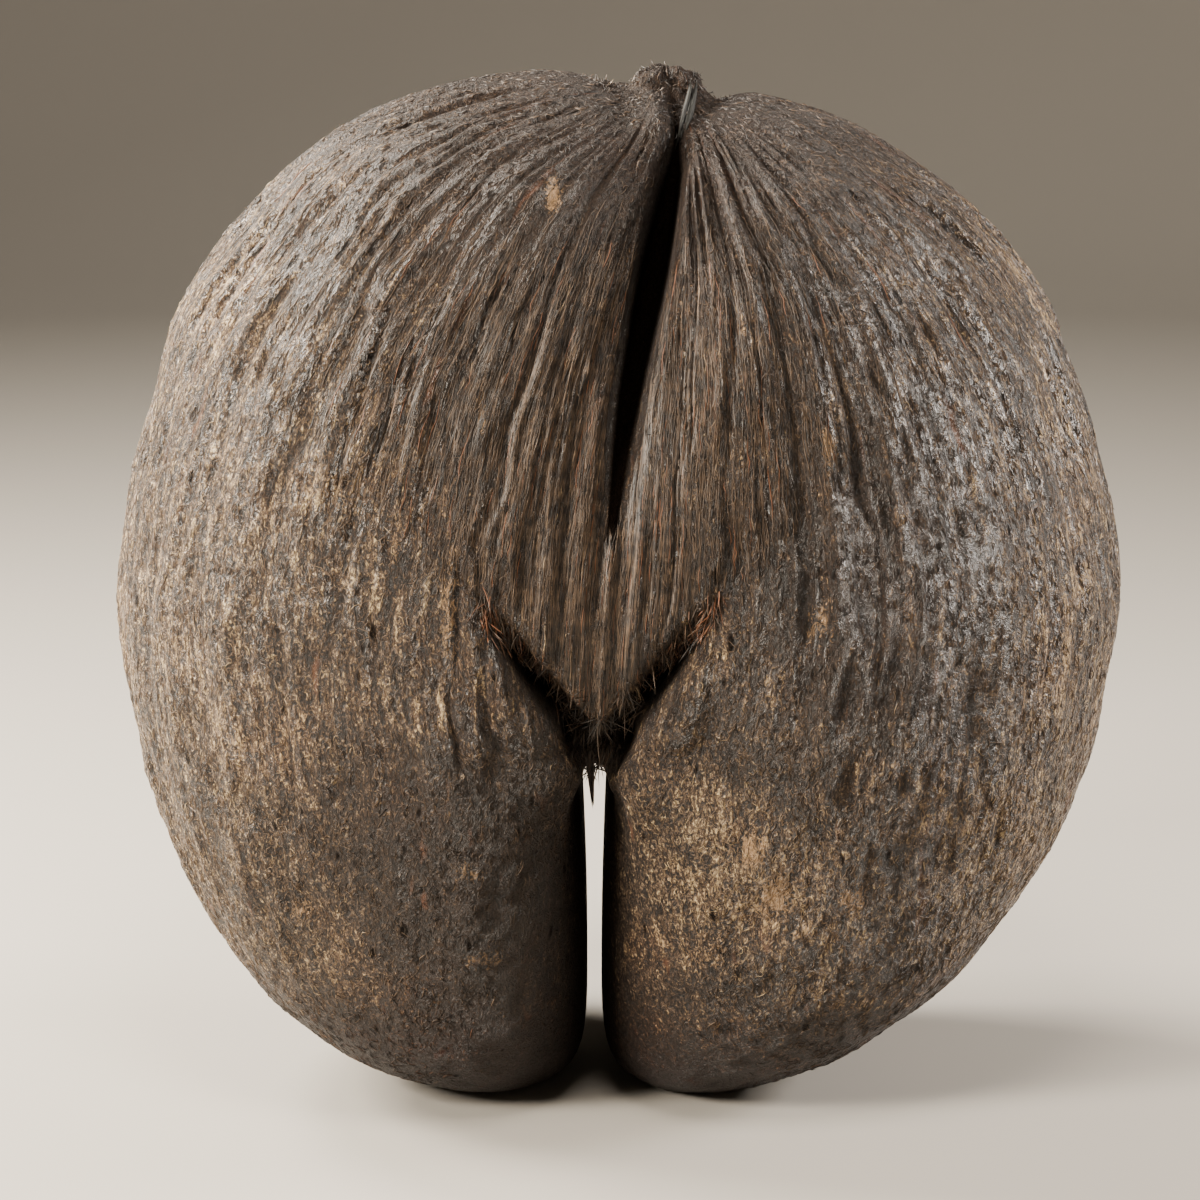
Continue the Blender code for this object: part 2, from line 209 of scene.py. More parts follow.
# How far beside the fork the lobes' own relief starts to reach up, and how uneven its upper edge is
LOBE_RUNS = (30, 80)
LOBE_EDGE = 0.05
LOBE_EDGE_PATCHES = 22.0
SCAR_PITS = 1.3
SCAR_PIT_SPACING = 2.6
CREST_WANDER = 2.2
CREST_WANDER_SPACING = 15.0


def through(keys, place):
    """Smooth curve through the keys, column by column: cubics with slopes taken from the neighbours."""
    keys = np.array(keys, dtype=float)
    at, values = keys[:, 0], keys[:, 1:]
    slopes = np.empty_like(values)
    slopes[1:-1] = (values[2:] - values[:-2]) / (at[2:] - at[:-2])[:, None]
    slopes[0] = (values[1] - values[0]) / (at[1] - at[0])
    slopes[-1] = (values[-1] - values[-2]) / (at[-1] - at[-2])
    start = np.clip(np.searchsorted(at, place, side="right") - 1, 0, len(at) - 2)
    span = (at[start + 1] - at[start])[..., None]
    u = (place - at[start])[..., None] / span
    rise = (2 * u**3 - 3 * u**2 + 1) * values[start] + (3 * u**2 - 2 * u**3) * values[start + 1]
    lean = (u**3 - 2 * u**2 + u) * slopes[start] + (u**3 - u**2) * slopes[start + 1]
    return rise + span * lean


def noise(points, seed):
    """Smooth random heights from -1 to 1: random values on a cubic lattice, blended between its corners."""
    size = 32
    lattice = np.random.default_rng(seed).uniform(-1, 1, (size, size, size))
    low = np.floor(points).astype(int)
    part = points - low
    part = part * part * (3 - 2 * part)
    total = np.zeros(points.shape[:-1])
    for corner in np.ndindex(2, 2, 2):
        share = np.prod(np.where(corner, part, 1 - part), axis=-1)
        i, j, k = np.moveaxis((low + corner) % size, -1, 0)
        total += share * lattice[i, j, k]
    return total


def bell(distance, half_width):
    """Bell curve that is 1 in the middle."""
    return np.exp(-(distance / half_width)**2)


def step_up(value, low, high):
    """0 below low, 1 above high, and a smooth rise between them."""
    share = np.clip((value - low) / (high - low), 0, 1)
    return share * share * (3 - 2 * share)


def ring_angles(u):
    """Angle round the nut at share u of the columns: closest together at the front, then at the back."""
    turn = 2 * np.pi * u
    return turn - FRONT_CROWDING * np.sin(turn) - BOTH_CROWDING * np.sin(2 * turn)


def ring_places(v):
    """Place from scar to slit at share v of the rows: closest together at the scar and at the fork."""
    shares, places = np.array(ROW_SPREAD).T
    return np.interp(v, shares, places)


def front_share(angle):
    """1 on the front, 0 on the back."""
    return np.clip(np.cos(angle) * FRONT_EDGE, 0, 1)


def form(angle, place):
    """Smooth body: rings that are squared ovals, dipping to the sides as the square of the way out."""
    ring = through(RINGS, place)
    middle_x, front_z, back_z, left_x, left_z, right_x, right_z, front_y, back_y, square, pinch, dip = (
        np.moveaxis(ring, -1, 0))
    front_dip, front_width, back_dip, back_width = np.moveaxis(through(VALLEYS, place), -1, 0)
    across, along = np.sin(angle), np.cos(angle)
    size = (np.abs(across)**square + np.abs(along)**square)**(1 / square)
    out = np.abs(across) / size
    deep = np.abs(along) / size
    side_x = np.where(across > 0, right_x, left_x)
    side_z = np.where(across > 0, right_z, left_z)
    middle_z = np.where(along > 0, front_z, back_z)
    x = middle_x + (side_x - middle_x) * out**pinch
    z = middle_z + (side_z - middle_z) * out**dip
    front = -(front_y - front_dip * bell(x - middle_x, front_width)) * deep
    back = (back_y - back_dip * bell(x - middle_x, back_width)) * deep
    spread = SLIT_SPREAD * np.interp(place, SLIT_SPREAD_PLACES, (0, 1, 1, 0))
    x = x + np.sign(across) * spread * out**SLIT_SPREAD_START * bell(out, SLIT_SPREAD_REACH)
    return np.stack([x, np.where(along > 0, front, back), z], -1)


def outwards(angle, place):
    """Direction square to the body, from steps along and across the rings."""
    step = 1e-3
    low = np.clip(place - step, 0, 1)
    high = np.clip(place + step, 0, 1)
    down = form(angle, high) - form(angle, low)
    round_it = form(angle + step, place) - form(angle - step, place)
    normal = np.cross(down, round_it)
    return normal / np.maximum(np.linalg.norm(normal, axis=-1, keepdims=True), 1e-9)


def cleft_relief(points, angle, place):
    """Deep cleft down the front middle, and the beak of fibre on its left at the top."""
    middle_x = through(RINGS, place)[..., 0]
    depth, half_width = np.moveaxis(through(CLEFT, place), -1, 0)
    run = points[..., 0] - middle_x
    beak = BEAK_HEIGHT * bell(run - BEAK_X, BEAK_HALF_WIDTH) * bell(place - BEAK_PLACE, BEAK_LENGTH)
    return front_share(angle) * (beak - np.maximum(depth, 0) * bell(run, half_width))


def fold_distance(points):
    """Run out from the fan's tip, and how far a point of the front lies above the line of the folds."""
    run = np.maximum(np.abs(points[..., 0] - FAN_TIP_X), FOLD_LEAST_RUN)
    height = FOLD_START_Z + FOLD_RISE * run**FOLD_BEND
    slope = FOLD_RISE * FOLD_BEND * run**(FOLD_BEND - 1)
    return run, (points[..., 2] - height) / np.sqrt(1 + slope**2)


def rows_along_fold(u, place):
    """Places moved so that one row runs along the folds in front, and its neighbours lean towards it."""
    column = u[0]
    trial = np.linspace(*FOLD_ROW_RANGE, FOLD_ROW_TRIALS)
    above = fold_distance(form(ring_angles(column)[None, :], trial[:, None]))[1]
    crossing = np.array([np.interp(0, np.maximum.accumulate(-side), trial) for side in above.T])
    share = np.minimum(column, 1 - column)
    reach = 1 - step_up(share, FOLD_ROW_FULL, FOLD_ROW_END)
    near = np.cos(np.clip((place - FOLD_ROW) / FOLD_ROW_WINDOW, -1, 1) * np.pi / 2)**2
    return place + (crossing - FOLD_ROW) * reach * near


def fold_relief(points, angle, place):
    """Folds that part the fan from the lower lobes: sharp on the fan's side, round on the lobes'."""
    run, above = fold_distance(points)
    runs, depths = np.array(FOLD_DEPTHS).T
    depth = np.interp(run, runs, depths)
    groove = np.where(above > 0, bell(above, FOLD_FAN_SIDE), bell(above, FOLD_LOBE_SIDE))
    swell = LOBE_SWELL * bell(above + LOBE_SWELL_BELOW, LOBE_SWELL_WIDTH) * depth / depths.max()
    ends = np.clip((FOLD_ENDS[1] - place) / (FOLD_ENDS[1] - FOLD_ENDS[0]), 0, 1)
    return front_share(angle) * ends * (swell - depth * groove)


def ribbed(points, place):
    """Share of the ribs that shows: all of it above the fork, little of it beside the slit."""
    lost = np.interp(place, RIB_LOSS_PLACES, (0, RIB_LOSS))
    return 1 - lost * bell(points[..., 0] - FORK_X, PLAIN_BESIDE_SLIT)


def husk_relief(points, u, place):
    """Lumps of the husk, the ragged scar, and ribs along the fibres that rise and sink as they run."""
    lumps = sum(height * noise(points / spacing, SEED + row)
                for row, (height, spacing) in enumerate(LUMPS))
    ragged = SCAR_LUMP * noise(points / SCAR_LUMP_SPACING, SEED + 5) * bell(place, SCAR_LUMP_REACH)
    radius = np.linalg.norm(points[..., :2], axis=-1)
    patches = np.stack([u * RIBS / RIB_CHANGE_RIBS, place * RIB_CHANGE_TIMES, 0 * u], -1)
    strength = RIB_STRENGTH + RIB_CHANGE * noise(patches, SEED + 9)
    strength = strength * np.clip(radius / RIB_FADE_RADIUS, 0, 1) * ribbed(points, place)
    ribs = RIB_HEIGHT * np.cos(2 * np.pi * RIBS * u) * strength
    return ragged + np.interp(place, RELIEF_ENDS, (1, 0)) * (lumps + ribs)


def fibre_coordinates(points, place):
    """Place among the fibres: x and y of the point's column on the fork's row, z by the way up from there."""
    steps = np.linalg.norm(np.diff(points, axis=0), axis=-1)
    along = np.concatenate([np.zeros((1, points.shape[1])), np.cumsum(steps, axis=0)])
    fork_row = np.argmin(np.abs(place - FOLD_ROW), axis=0)
    column = np.arange(points.shape[1])
    crossing = points[fork_row, column]
    height = crossing[:, 2] + along[fork_row, column] - along
    return np.stack([crossing[:, 0] + 0 * height, crossing[:, 1] + 0 * height, height], -1)


def lobe_share(points, place):
    """0 where the husk runs with the fibre coordinates, 1 on the lower lobes, where it runs up and down."""
    away = step_up(fold_distance(points)[0], *LOBE_RUNS)
    uneven = away * LOBE_EDGE * noise(points / LOBE_EDGE_PATCHES, SEED + 41)
    return step_up(place + uneven, FOLD_ROW - 0.01 - 0.19 * away, FOLD_ROW + 0.03 + 0.05 * away)


def crest_relief(points, fibre, narrowing, place):
    """Ropes and crests along the fibres, from the size of a noise: its zero lines are cracks or crests."""
    wander = CREST_WANDER * noise(points / CREST_WANDER_SPACING, SEED + 20)
    fibre = fibre + np.stack([wander, -wander, 0 * wander], -1)
    height, across, along = ROPES
    rope = np.abs(noise(fibre / np.array([across, across, along]), SEED + 21))
    rope = np.minimum(rope / ROPE_CRACK, 1)**ROPE_ROUNDNESS
    upper = height * (rope - ROPE_MIDDLE) * step_up(narrowing, 0.25, 0.6)
    upper *= np.clip(0.7 + 0.9 * noise(points / ROPE_PATCHES, SEED + 31), 0.1, 1.3)
    for row, (height, across, along) in enumerate(CRESTS):
        crest = np.abs(noise(fibre / np.array([across, across, along]), SEED + 22 + row))
        crest = 1 - CREST_SHARPNESS * crest
        # Crests that the narrowing rings would press together fade out towards the scar
        upper += height * crest * step_up(narrowing, 0.16 * (row + 1), 0.42 + 0.2 * row)
    lower = np.zeros(place.shape)
    for row, (height, across, along) in enumerate(LOBE_CRESTS):
        cell = (points + wander[..., None] * (1, -1, 0)) / np.array([across, across, along])
        lower += height * (1 - CREST_SHARPNESS * np.abs(noise(cell, SEED + 26 + row)))
    coming = np.clip(0.65 + 0.6 * noise(points / CREST_PATCHES, SEED + 30), 0.15, 1.2)
    share = lobe_share(points, place)
    return (upper * (1 - share) + lower * share) * coming * np.interp(place, RELIEF_ENDS, (1, 0))


def skin_grid():
    """Points of the skin in millimetres, row by row, and what the fibres and materials need at each."""
    u, place = np.meshgrid(np.arange(COLUMNS) / COLUMNS, ring_places(np.linspace(0, 1, ROWS)))
    place = rows_along_fold(u, place)
    angle = ring_angles(u)
    body = form(angle, place)
    fibre = fibre_coordinates(body, place)
    around = np.linalg.norm(np.roll(body, -1, axis=1) - body, axis=-1).sum(axis=1)
    narrowing = np.repeat((around / around.max())[:, None], COLUMNS, axis=1)
    folds = fold_relief(body, angle, place)
    cleft = cleft_relief(body, angle, place)
    relief = cleft + folds + husk_relief(body, u, place)
    calm = 1 / (1 + 0.25 * np.abs(folds) + 0.3 * np.abs(cleft))
    relief += crest_relief(body, fibre, narrowing, place) * calm
    relief += SCAR_PITS * noise(body / SCAR_PIT_SPACING, SEED + 12) * bell(place, SCAR_LUMP_REACH)
    relief[[0, -1]] = 0
    points = body + relief[..., None] * outwards(angle, place)
    points[..., 2] = np.maximum(points[..., 2], 0)
    down = np.gradient(points, axis=0)
    round_it = (np.roll(points, -1, axis=1) - np.roll(points, 1, axis=1)) / 2
    normal = np.cross(down, round_it)
    normal = normal / np.maximum(np.linalg.norm(normal, axis=-1, keepdims=True), 1e-9)
    return {"points": points, "body": body, "fibre": fibre, "down": down, "round": round_it,
            "normal": normal, "angle": angle, "place": place, "narrowing": narrowing, "folds": folds,
            "cleft": cleft}


def fitted(points, low, high):
    """Millimetre points moved and sized so that the box from low to high fits the solid's box, in metres."""
    floor_corner, top_corner = (np.array(corner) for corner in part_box("nut"))
    return floor_corner + (points - low) / (high - low) * (top_corner - floor_corner)


def mesh_piece(name, points, faces, material, values):
    """A husk piece from points, lists of faces with equal corners each, and named values on its points."""
    mesh = bpy.data.meshes.new(name)
    corners = np.concatenate([part.ravel() for part in faces])
    sizes = np.concatenate([np.full(len(part), part.shape[1]) for part in faces])
    mesh.vertices.add(len(points))
    mesh.vertices.foreach_set("co", points.astype(np.float32).ravel())
    mesh.loops.add(len(corners))
    mesh.loops.foreach_set("vertex_index", corners.astype(np.int32))
    mesh.polygons.add(len(sizes))
    mesh.polygons.foreach_set("loop_start", np.concatenate([[0], np.cumsum(sizes)[:-1]]).astype(np.int32))
    mesh.update(calc_edges=True)
    mesh.shade_smooth()
    for label, kind, field, data in values:
        mesh.attributes.new(label, kind, "POINT").data.foreach_set(field, data.astype(np.float32).ravel())
    mesh.materials.append(material)
    piece = bpy.data.objects.new(name, mesh)
    bpy.context.scene.collection.objects.link(piece)
    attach(piece, "root")
    return piece


def one_pole_each_end(grid):
    """Grid values in the order of the skin's points: one for each pole and all of the rows between."""
    return np.concatenate([grid[0, :1], grid[1:-1].reshape(-1, *grid.shape[2:]), grid[-1, :1]])


def skin_faces():
    """Quads between the rows, and a fan of triangles round each pole."""
    row = np.arange(ROWS - 3)[:, None] * COLUMNS + 1
    here = np.arange(COLUMNS)
    after = (here + 1) % COLUMNS
    quads = np.stack([row + here, row + COLUMNS + here, row + COLUMNS + after, row + after], -1)
    last_row = 1 + (ROWS - 3) * COLUMNS
    bottom = last_row + COLUMNS
    top_fan = np.stack([0 * here, 1 + here, 1 + after], -1)
    bottom_fan = np.stack([0 * here + bottom, last_row + after, last_row + here], -1)
    return [top_fan, quads.reshape(-1, 4), bottom_fan]


# Painted light and shade as pale and dark zones: x, half width, z, half height and how much paler. The
# first ones are on the front only
FRONT_LIGHT_AND_SHADE = (
    (32, 30, 86, 30, 0.8),
    (22, 22, 200, 40, 0.8),
    (-38, 34, 70, 50, -1.1),
    (72, 34, 165, 60, -1.0),
)
SIDE_LIGHT_AND_SHADE = (
    (105, 30, 90, 40, 0.3),
    (-80, 32, 52, 30, 0.4),
)
# Darkness of the fan, partly its own tone and partly painted shade, of the scar, and of the bottoms, which is
# painted shade near the floor
FAN_DARKNESS = 0.9
SCAR_DARKNESS = 0.9
BOTTOM_SHADE = 1.1
ZONE_PATCHES = 26.0


def zone_values(skin):
    """How pale, warm and dark the husk is, and where it is lobe-like, from 0 to 1, worked out from the form.
    Much of the paleness and darkness is painted light and shade, and the warmth at the bottoms a painted
    warm reflection.
    """
    x, y, z = np.moveaxis(skin["body"], -1, 0)
    patches = noise(skin["body"] / ZONE_PATCHES, SEED + 40)
    # The flanks are paler, partly the husk's own tone and partly painted light from the side lamps
    flanks = 0.45 * step_up(-x + 14 * patches, 30, 125) + 0.4 * step_up(x + 34 * patches, 25, 160)
    run, above = fold_distance(skin["body"])
    # The fan is darker, partly its own darker fibre and partly painted shade where little light reaches it
    fan = FAN_DARKNESS * bell(run, 50) * step_up(above, -4, 6)
    front_light_and_shade, side_light_and_shade = (
        sum(paler * bell(x - at_x, half_width) * bell(z - at_z, half_height)
            for at_x, half_width, at_z, half_height, paler in zones)
        for zones in (FRONT_LIGHT_AND_SHADE, SIDE_LIGHT_AND_SHADE))
    pale = flanks * step_up(z, 20, 90) + step_up(-y, 20, 60) * (front_light_and_shade - fan) + side_light_and_shade
    pale -= SCAR_DARKNESS * bell(skin["place"], 0.16)
    # Painted shade: the bottoms are darker towards the floor
    pale -= BOTTOM_SHADE * (1 - step_up(z + 10 * patches, 4, 48))
    # Warmer towards the bottoms as a painted warm reflection, and a little on the right flank, partly the
    # husk's own tone and partly painted warm side light
    warm = np.maximum(1 - step_up(z + 12 * patches, 0, 60), 0.14 * step_up(x + 30 * patches, 60, 150))
    # Painted shade in the cleft: black in its middle, and thinning to a line where it runs out
    middle_x = through(RINGS, skin["place"])[..., 0]
    depth, half_width = np.moveaxis(through(CLEFT, skin["place"]), -1, 0)
    across = np.abs(x - middle_x) / half_width
    cleft = 1 - step_up(across, 0.15 + 0.028 * depth, 0.40 + 0.045 * depth)
    cleft = cleft * step_up(depth, 0.3, 2.5) * front_share(skin["angle"])
    # Painted shade in the folds and on the walls of the slit
    folds = 0.13 * np.maximum(-skin["folds"] - 2, 0)
    scar = 0.30 * bell(skin["place"], 0.10) * step_up(-y, -10, 30)
    slit = 0.9 * step_up(skin["place"], 0.80, 0.87)
    dark = np.clip(np.maximum(folds + cleft, scar) + slit, 0, 1)
    lobe = lobe_share(skin["body"], skin["place"])
    return np.stack([np.clip(0.5 + 0.5 * pale, 0, 1), warm, dark, lobe], -1)


# Spots where the outer skin has worn off in front: x, z, half width, half height and strength
SCUFFS = (
    (48, 76, 5.5, 8, 1.0), (41, 91, 4.5, 7, 0.9), (70, 75, 4, 4.5, 0.8), (56, 66, 9, 6, 0.45),
    (30, 60, 10, 12, 0.4), (-38, 84, 5, 4, 0.6), (-34, 56, 8, 4, 0.5), (-86, 70, 7, 5, 0.5),
    (61, 205, 2.2, 5.5, 1.0), (-14, 271, 2.5, 5, 0.9), (59, 158, 5, 8, 0.5), (97, 148, 3, 26, 0.4),
    (-42, 160, 2.6, 26, 0.55), (-33, 214, 1.8, 14, 0.5), (-57, 176, 2.4, 18, 0.35),
    (118, 92, 4, 22, 0.45), (92, 226, 3, 9, 0.4),
)


def scuff_values(skin):
    """How far the outer skin has worn off: round hills in front that the material gives ragged edges."""
    x, y, z = np.moveaxis(skin["body"], -1, 0)
    worn = np.zeros(x.shape)
    for centre_x, centre_z, half_width, half_height, strength in SCUFFS:
        spot = strength * bell(x - centre_x, half_width) * bell(z - centre_z, half_height)
        worn = np.maximum(worn, spot)
    return worn * (y < 0)


def streak_share(skin):
    """How much of the relief runs in streaks: all on the fan, less on the lobes and none at the scar."""
    flank = step_up(skin["body"][..., 0], 15, 70)
    lobe = lobe_share(skin["body"], skin["place"])
    return step_up(skin["narrowing"], 0.30, 0.80) * (1 - lobe * (0.45 - 0.3 * flank))


# Separate fibres

def at_grid(values, rows, columns):
    """Values of a grid at fractional rows and columns, blended between the four nearest."""
    rows = np.clip(rows, 0, ROWS - 1.001)
    row, column = np.floor(rows).astype(int), np.floor(columns).astype(int)
    down, over = (rows - row)[..., None], (columns - column)[..., None]
    column, after = column % COLUMNS, (column + 1) % COLUMNS
    upper = values[row, column] * (1 - over) + values[row, after] * over
    lower = values[row + 1, column] * (1 - over) + values[row + 1, after] * over
    return upper * (1 - down) + lower * down


def unit(vectors):
    """The vectors at length one."""
    return vectors / np.maximum(np.linalg.norm(vectors, axis=-1, keepdims=True), 1e-9)


def scatter(skin, count, density, rng):
    """Random rows and columns of the skin's grid, as many on each square millimetre as the density says."""
    area = np.linalg.norm(np.cross(skin["down"], skin["round"]), axis=-1) * density
    area[[0, 1, -2, -1]] = 0
    picks = rng.choice(area.size, count, p=(area / area.sum()).ravel())
    return picks // COLUMNS + rng.random(count), picks % COLUMNS + rng.random(count)


def laid_paths(skin, rows, columns, lengths, sway, stations, rng):
    """Paths that follow the grid's columns for their lengths, swaying sideways as a sine."""
    share = np.linspace(-0.5, 0.5, stations)
    row_size = np.linalg.norm(at_grid(skin["down"], rows, columns), axis=-1)
    column_size = np.maximum(np.linalg.norm(at_grid(skin["round"], rows, columns), axis=-1), 0.05)
    phase, turns = rng.uniform(0, 2 * np.pi, len(rows)), rng.uniform(0.6, 1.8, len(rows))
    side = sway * np.sin(2 * np.pi * turns[:, None] * share + phase[:, None])
    rows = rows[:, None] + lengths[:, None] * share / row_size[:, None]
    columns = columns[:, None] + side / column_size[:, None]
    return at_grid(skin["points"], rows, columns), unit(at_grid(skin["normal"], rows, columns))


def curled_paths(skin, rows, columns, lengths, stations, rng):
    """Short arcs in the plane of the surface: along the fibres above the fork, up and down on the lobes."""
    share = np.linspace(-0.5, 0.5, stations)
    start = at_grid(skin["points"], rows, columns)
    normal = unit(at_grid(skin["normal"], rows, columns))
    lobe = at_grid(lobe_share(skin["body"], skin["place"])[..., None], rows, columns)
    ahead = unit(at_grid(skin["down"], rows, columns)) * (1 - lobe) + np.array([0, 0, -1.0]) * lobe
    ahead = unit(ahead - normal * (ahead * normal).sum(-1, keepdims=True))
    side = np.cross(normal, ahead)
    turn = rng.normal(0, 0.45, (len(rows), 1))
    ahead, side = ahead * np.cos(turn) + side * np.sin(turn), side * np.cos(turn) - ahead * np.sin(turn)
    bend = rng.normal(0, 1.6, (len(rows), 1))
    arc = lengths[:, None] * share
    paths = start[:, None] + ahead[:, None] * arc[..., None]
    paths = paths + side[:, None] * (bend * lengths[:, None] * (share**2 - 0.1))[..., None]
    return paths, np.repeat(normal[:, None], stations, axis=1)


def tubes(paths, ups, half_widths, heights):
    """Three-sided tubes along the paths: left, top and right corner at each station, a point at each end."""
    count, stations = paths.shape[:2]
    taper = np.sin(np.pi * np.linspace(0, 1, stations))**0.5
    ahead = unit(np.gradient(paths, axis=1))
    side = unit(np.cross(ahead, ups))
    wide = (half_widths[:, None] * taper)[..., None]
    high = (heights[:, None] * taper)[..., None]
    ring = np.stack([paths + side * wide - ups * high * 0.35, paths + ups * high,
                     paths - side * wide - ups * high * 0.35], axis=2)
    middle = ring[:, 1:-1].reshape(count, -1, 3)
    points = np.concatenate([paths[:, :1], middle, paths[:, -1:]], axis=1)
    size = points.shape[1]
    faces = []
    for station in range(stations - 3):
        for corner in range(3):
            here, after = 1 + 3 * station + corner, 1 + 3 * station + (corner + 1) % 3
            faces += [(here, here + 3, after + 3), (here, after + 3, after)]
    last = 1 + 3 * (stations - 3)
    for corner in range(3):
        after = (corner + 1) % 3
        faces += [(0, 1 + corner, 1 + after), (last + corner, size - 1, last + after)]
    triangles = np.array(faces)[None] + size * np.arange(count)[:, None, None]
    return points.reshape(-1, 3), triangles.reshape(-1, 3), size


def build_fibres(name, fit, tube_parts, tones, material):
    """A piece from tubes, with each fibre's tone (how pale, how rusty, how dark) on its points."""
    points, triangles, size = tube_parts
    tone = np.repeat(tones, size, axis=0)
    tone = np.concatenate([tone, np.ones((len(tone), 1))], axis=1)
    mesh_piece(name, fit(points), [triangles], material, (("tone", "FLOAT_COLOR", "color", tone),))


# Felt: number of curls on each half, length, half width and height in millimetres
FELT_COUNT = 16000
FELT_LENGTH = (1.8, 5.0)
FELT_HALF_WIDTH = (0.11, 0.19)
FELT_HEIGHT = (0.10, 0.24)


def build_felt(skin, fit, material):
    """Short curled fibres all over the husk, in a left and a right half."""
    rng = np.random.default_rng(SEED + 50)
    x = skin["body"][..., 0]
    open_husk = 1 - step_up(skin["place"], 0.74, 0.80)
    clear = (skin["folds"] > -1.5) * (skin["cleft"] > -2.5)
    front = 0.45 + 0.55 * step_up(np.cos(skin["angle"]), -0.3, 0.3)
    for name, half in (("felt_left", x < FORK_X), ("felt_right", x >= FORK_X)):
        rows, columns = scatter(skin, FELT_COUNT, open_husk * clear * front * half, rng)
        lengths = rng.uniform(*FELT_LENGTH, FELT_COUNT)
        paths, ups = curled_paths(skin, rows, columns, lengths, 4, rng)
        parts = tubes(paths, ups, rng.uniform(*FELT_HALF_WIDTH, FELT_COUNT),
                      rng.uniform(*FELT_HEIGHT, FELT_COUNT))
        # The curls take their tone from the zones, with the painted light and shade and the painted warm
        # reflection in them
        pale = at_grid(zone_values(skin)[..., :2], rows, columns)
        tones = np.stack([np.clip(rng.beta(1.6, 2.6, FELT_COUNT) + 0.8 * (pale[:, 0] - 0.5), 0, 1),
                          np.clip(0.05 + 0.4 * pale[:, 1] + rng.normal(0, 0.15, FELT_COUNT), 0, 1),
                          np.zeros(FELT_COUNT)], axis=1)
        build_fibres(name, fit, parts, tones, material)


# Long fibres beside the cleft and on the fan
STRAND_COUNT = 6500
STRAND_LENGTH = (6.0, 20.0)
STRAND_HALF_WIDTH = (0.10, 0.20)
STRAND_HEIGHT = (0.10, 0.28)


def build_strands(skin, fit, material):
    """Straight fibres that lie side by side on the fan and, far fewer, above it."""
    rng = np.random.default_rng(SEED + 51)
    run, above = fold_distance(skin["body"])
    front = front_share(skin["angle"])
    place = skin["place"]
    upper = step_up(above, 0, 2) * step_up(place, 0.03, 0.08) * (1 - lobe_share(skin["body"], place))
    fan = bell(run, 40) * (1 - step_up(above, 40, 95))
    density = front * upper * (0.03 + fan) * (skin["cleft"] > -2.5) * step_up(place, 0.15, 0.3)
    rows, columns = scatter(skin, STRAND_COUNT, density, rng)
    lengths = rng.uniform(*STRAND_LENGTH, STRAND_COUNT)
    # No strand runs down into a fold
    room = at_grid(above[..., None], rows, columns)[:, 0]
    near = at_grid(run[..., None], rows, columns)[:, 0] < 40
    lengths = np.where(near, np.minimum(lengths, np.maximum(2 * room - 1, 2.5)), lengths)
    paths, ups = laid_paths(skin, rows, columns, lengths, 0.35, 6, rng)
    parts = tubes(paths, ups, rng.uniform(*STRAND_HALF_WIDTH, STRAND_COUNT),
                  rng.uniform(*STRAND_HEIGHT, STRAND_COUNT))
    rusty = rng.random(STRAND_COUNT) < 0.03
    tones = np.stack([rng.beta(1.5, 4.0, STRAND_COUNT),
                      np.where(rusty, 0.9, rng.uniform(0, 0.25, STRAND_COUNT)),
                      np.zeros(STRAND_COUNT)], axis=1)
    build_fibres("fan_strands", fit, parts, tones, material)


# Bristles in the fork: on the fan's lower edge, in the mass under its tip and in the tuft in the slit
BRISTLE_RUN = 33.0
FRINGE_COUNT = 3600
FRINGE_LENGTH = (2.5, 7.5)
MASS_COUNT = 700
MASS_LENGTH = (5.0, 13.0)
TUFT_COUNT = 110
TUFT_ROOT = (FORK_X - 1.3, -58.0, 116.0)
TUFT_TIP = (FORK_X - 0.3, -46.0, 94.0)
TUFT_SPREAD = (1.5, 7.0, 1.5)
BRISTLE_HALF_WIDTH = (0.10, 0.22)


def hanging_paths(starts, ahead, lengths, droop, stations, rng):
    """Paths from their starts ahead, bending down as the square of the way, with a random sideways curl."""
    share = np.linspace(0, 1, stations)
    curl = rng.normal(0, 0.22, (len(starts), 3))
    reach = lengths[:, None, None]
    paths = starts[:, None] + ahead[:, None] * reach * share[:, None]
    fall = np.array([0, 0, -1.0]) * droop + curl
    return paths + fall[:, None] * reach * (share**2)[:, None]


def edge_bristles(skin, density, count, lengths, lean, rng):
    """Bristles that start under the surface where the density says and run down, out and to the slit."""
    rows, columns = scatter(skin, count, density, rng)
    starts = at_grid(skin["points"], rows, columns)
    normal = unit(at_grid(skin["normal"], rows, columns))
    down = unit(at_grid(skin["down"], rows, columns))
    inwards = np.stack([-np.sign(starts[:, 0] - FAN_TIP_X), 0 * rows, 0 * rows], axis=1)
    ahead = unit(down + lean * normal + inwards * rng.uniform(-0.1, 0.5, (count, 1))
                 + rng.normal(0, 0.30, (count, 3)))
    paths = hanging_paths(starts - normal * 0.8, ahead, rng.uniform(*lengths, count), 0.25, 6, rng)
    return paths, np.repeat(normal[:, None], 6, axis=1)


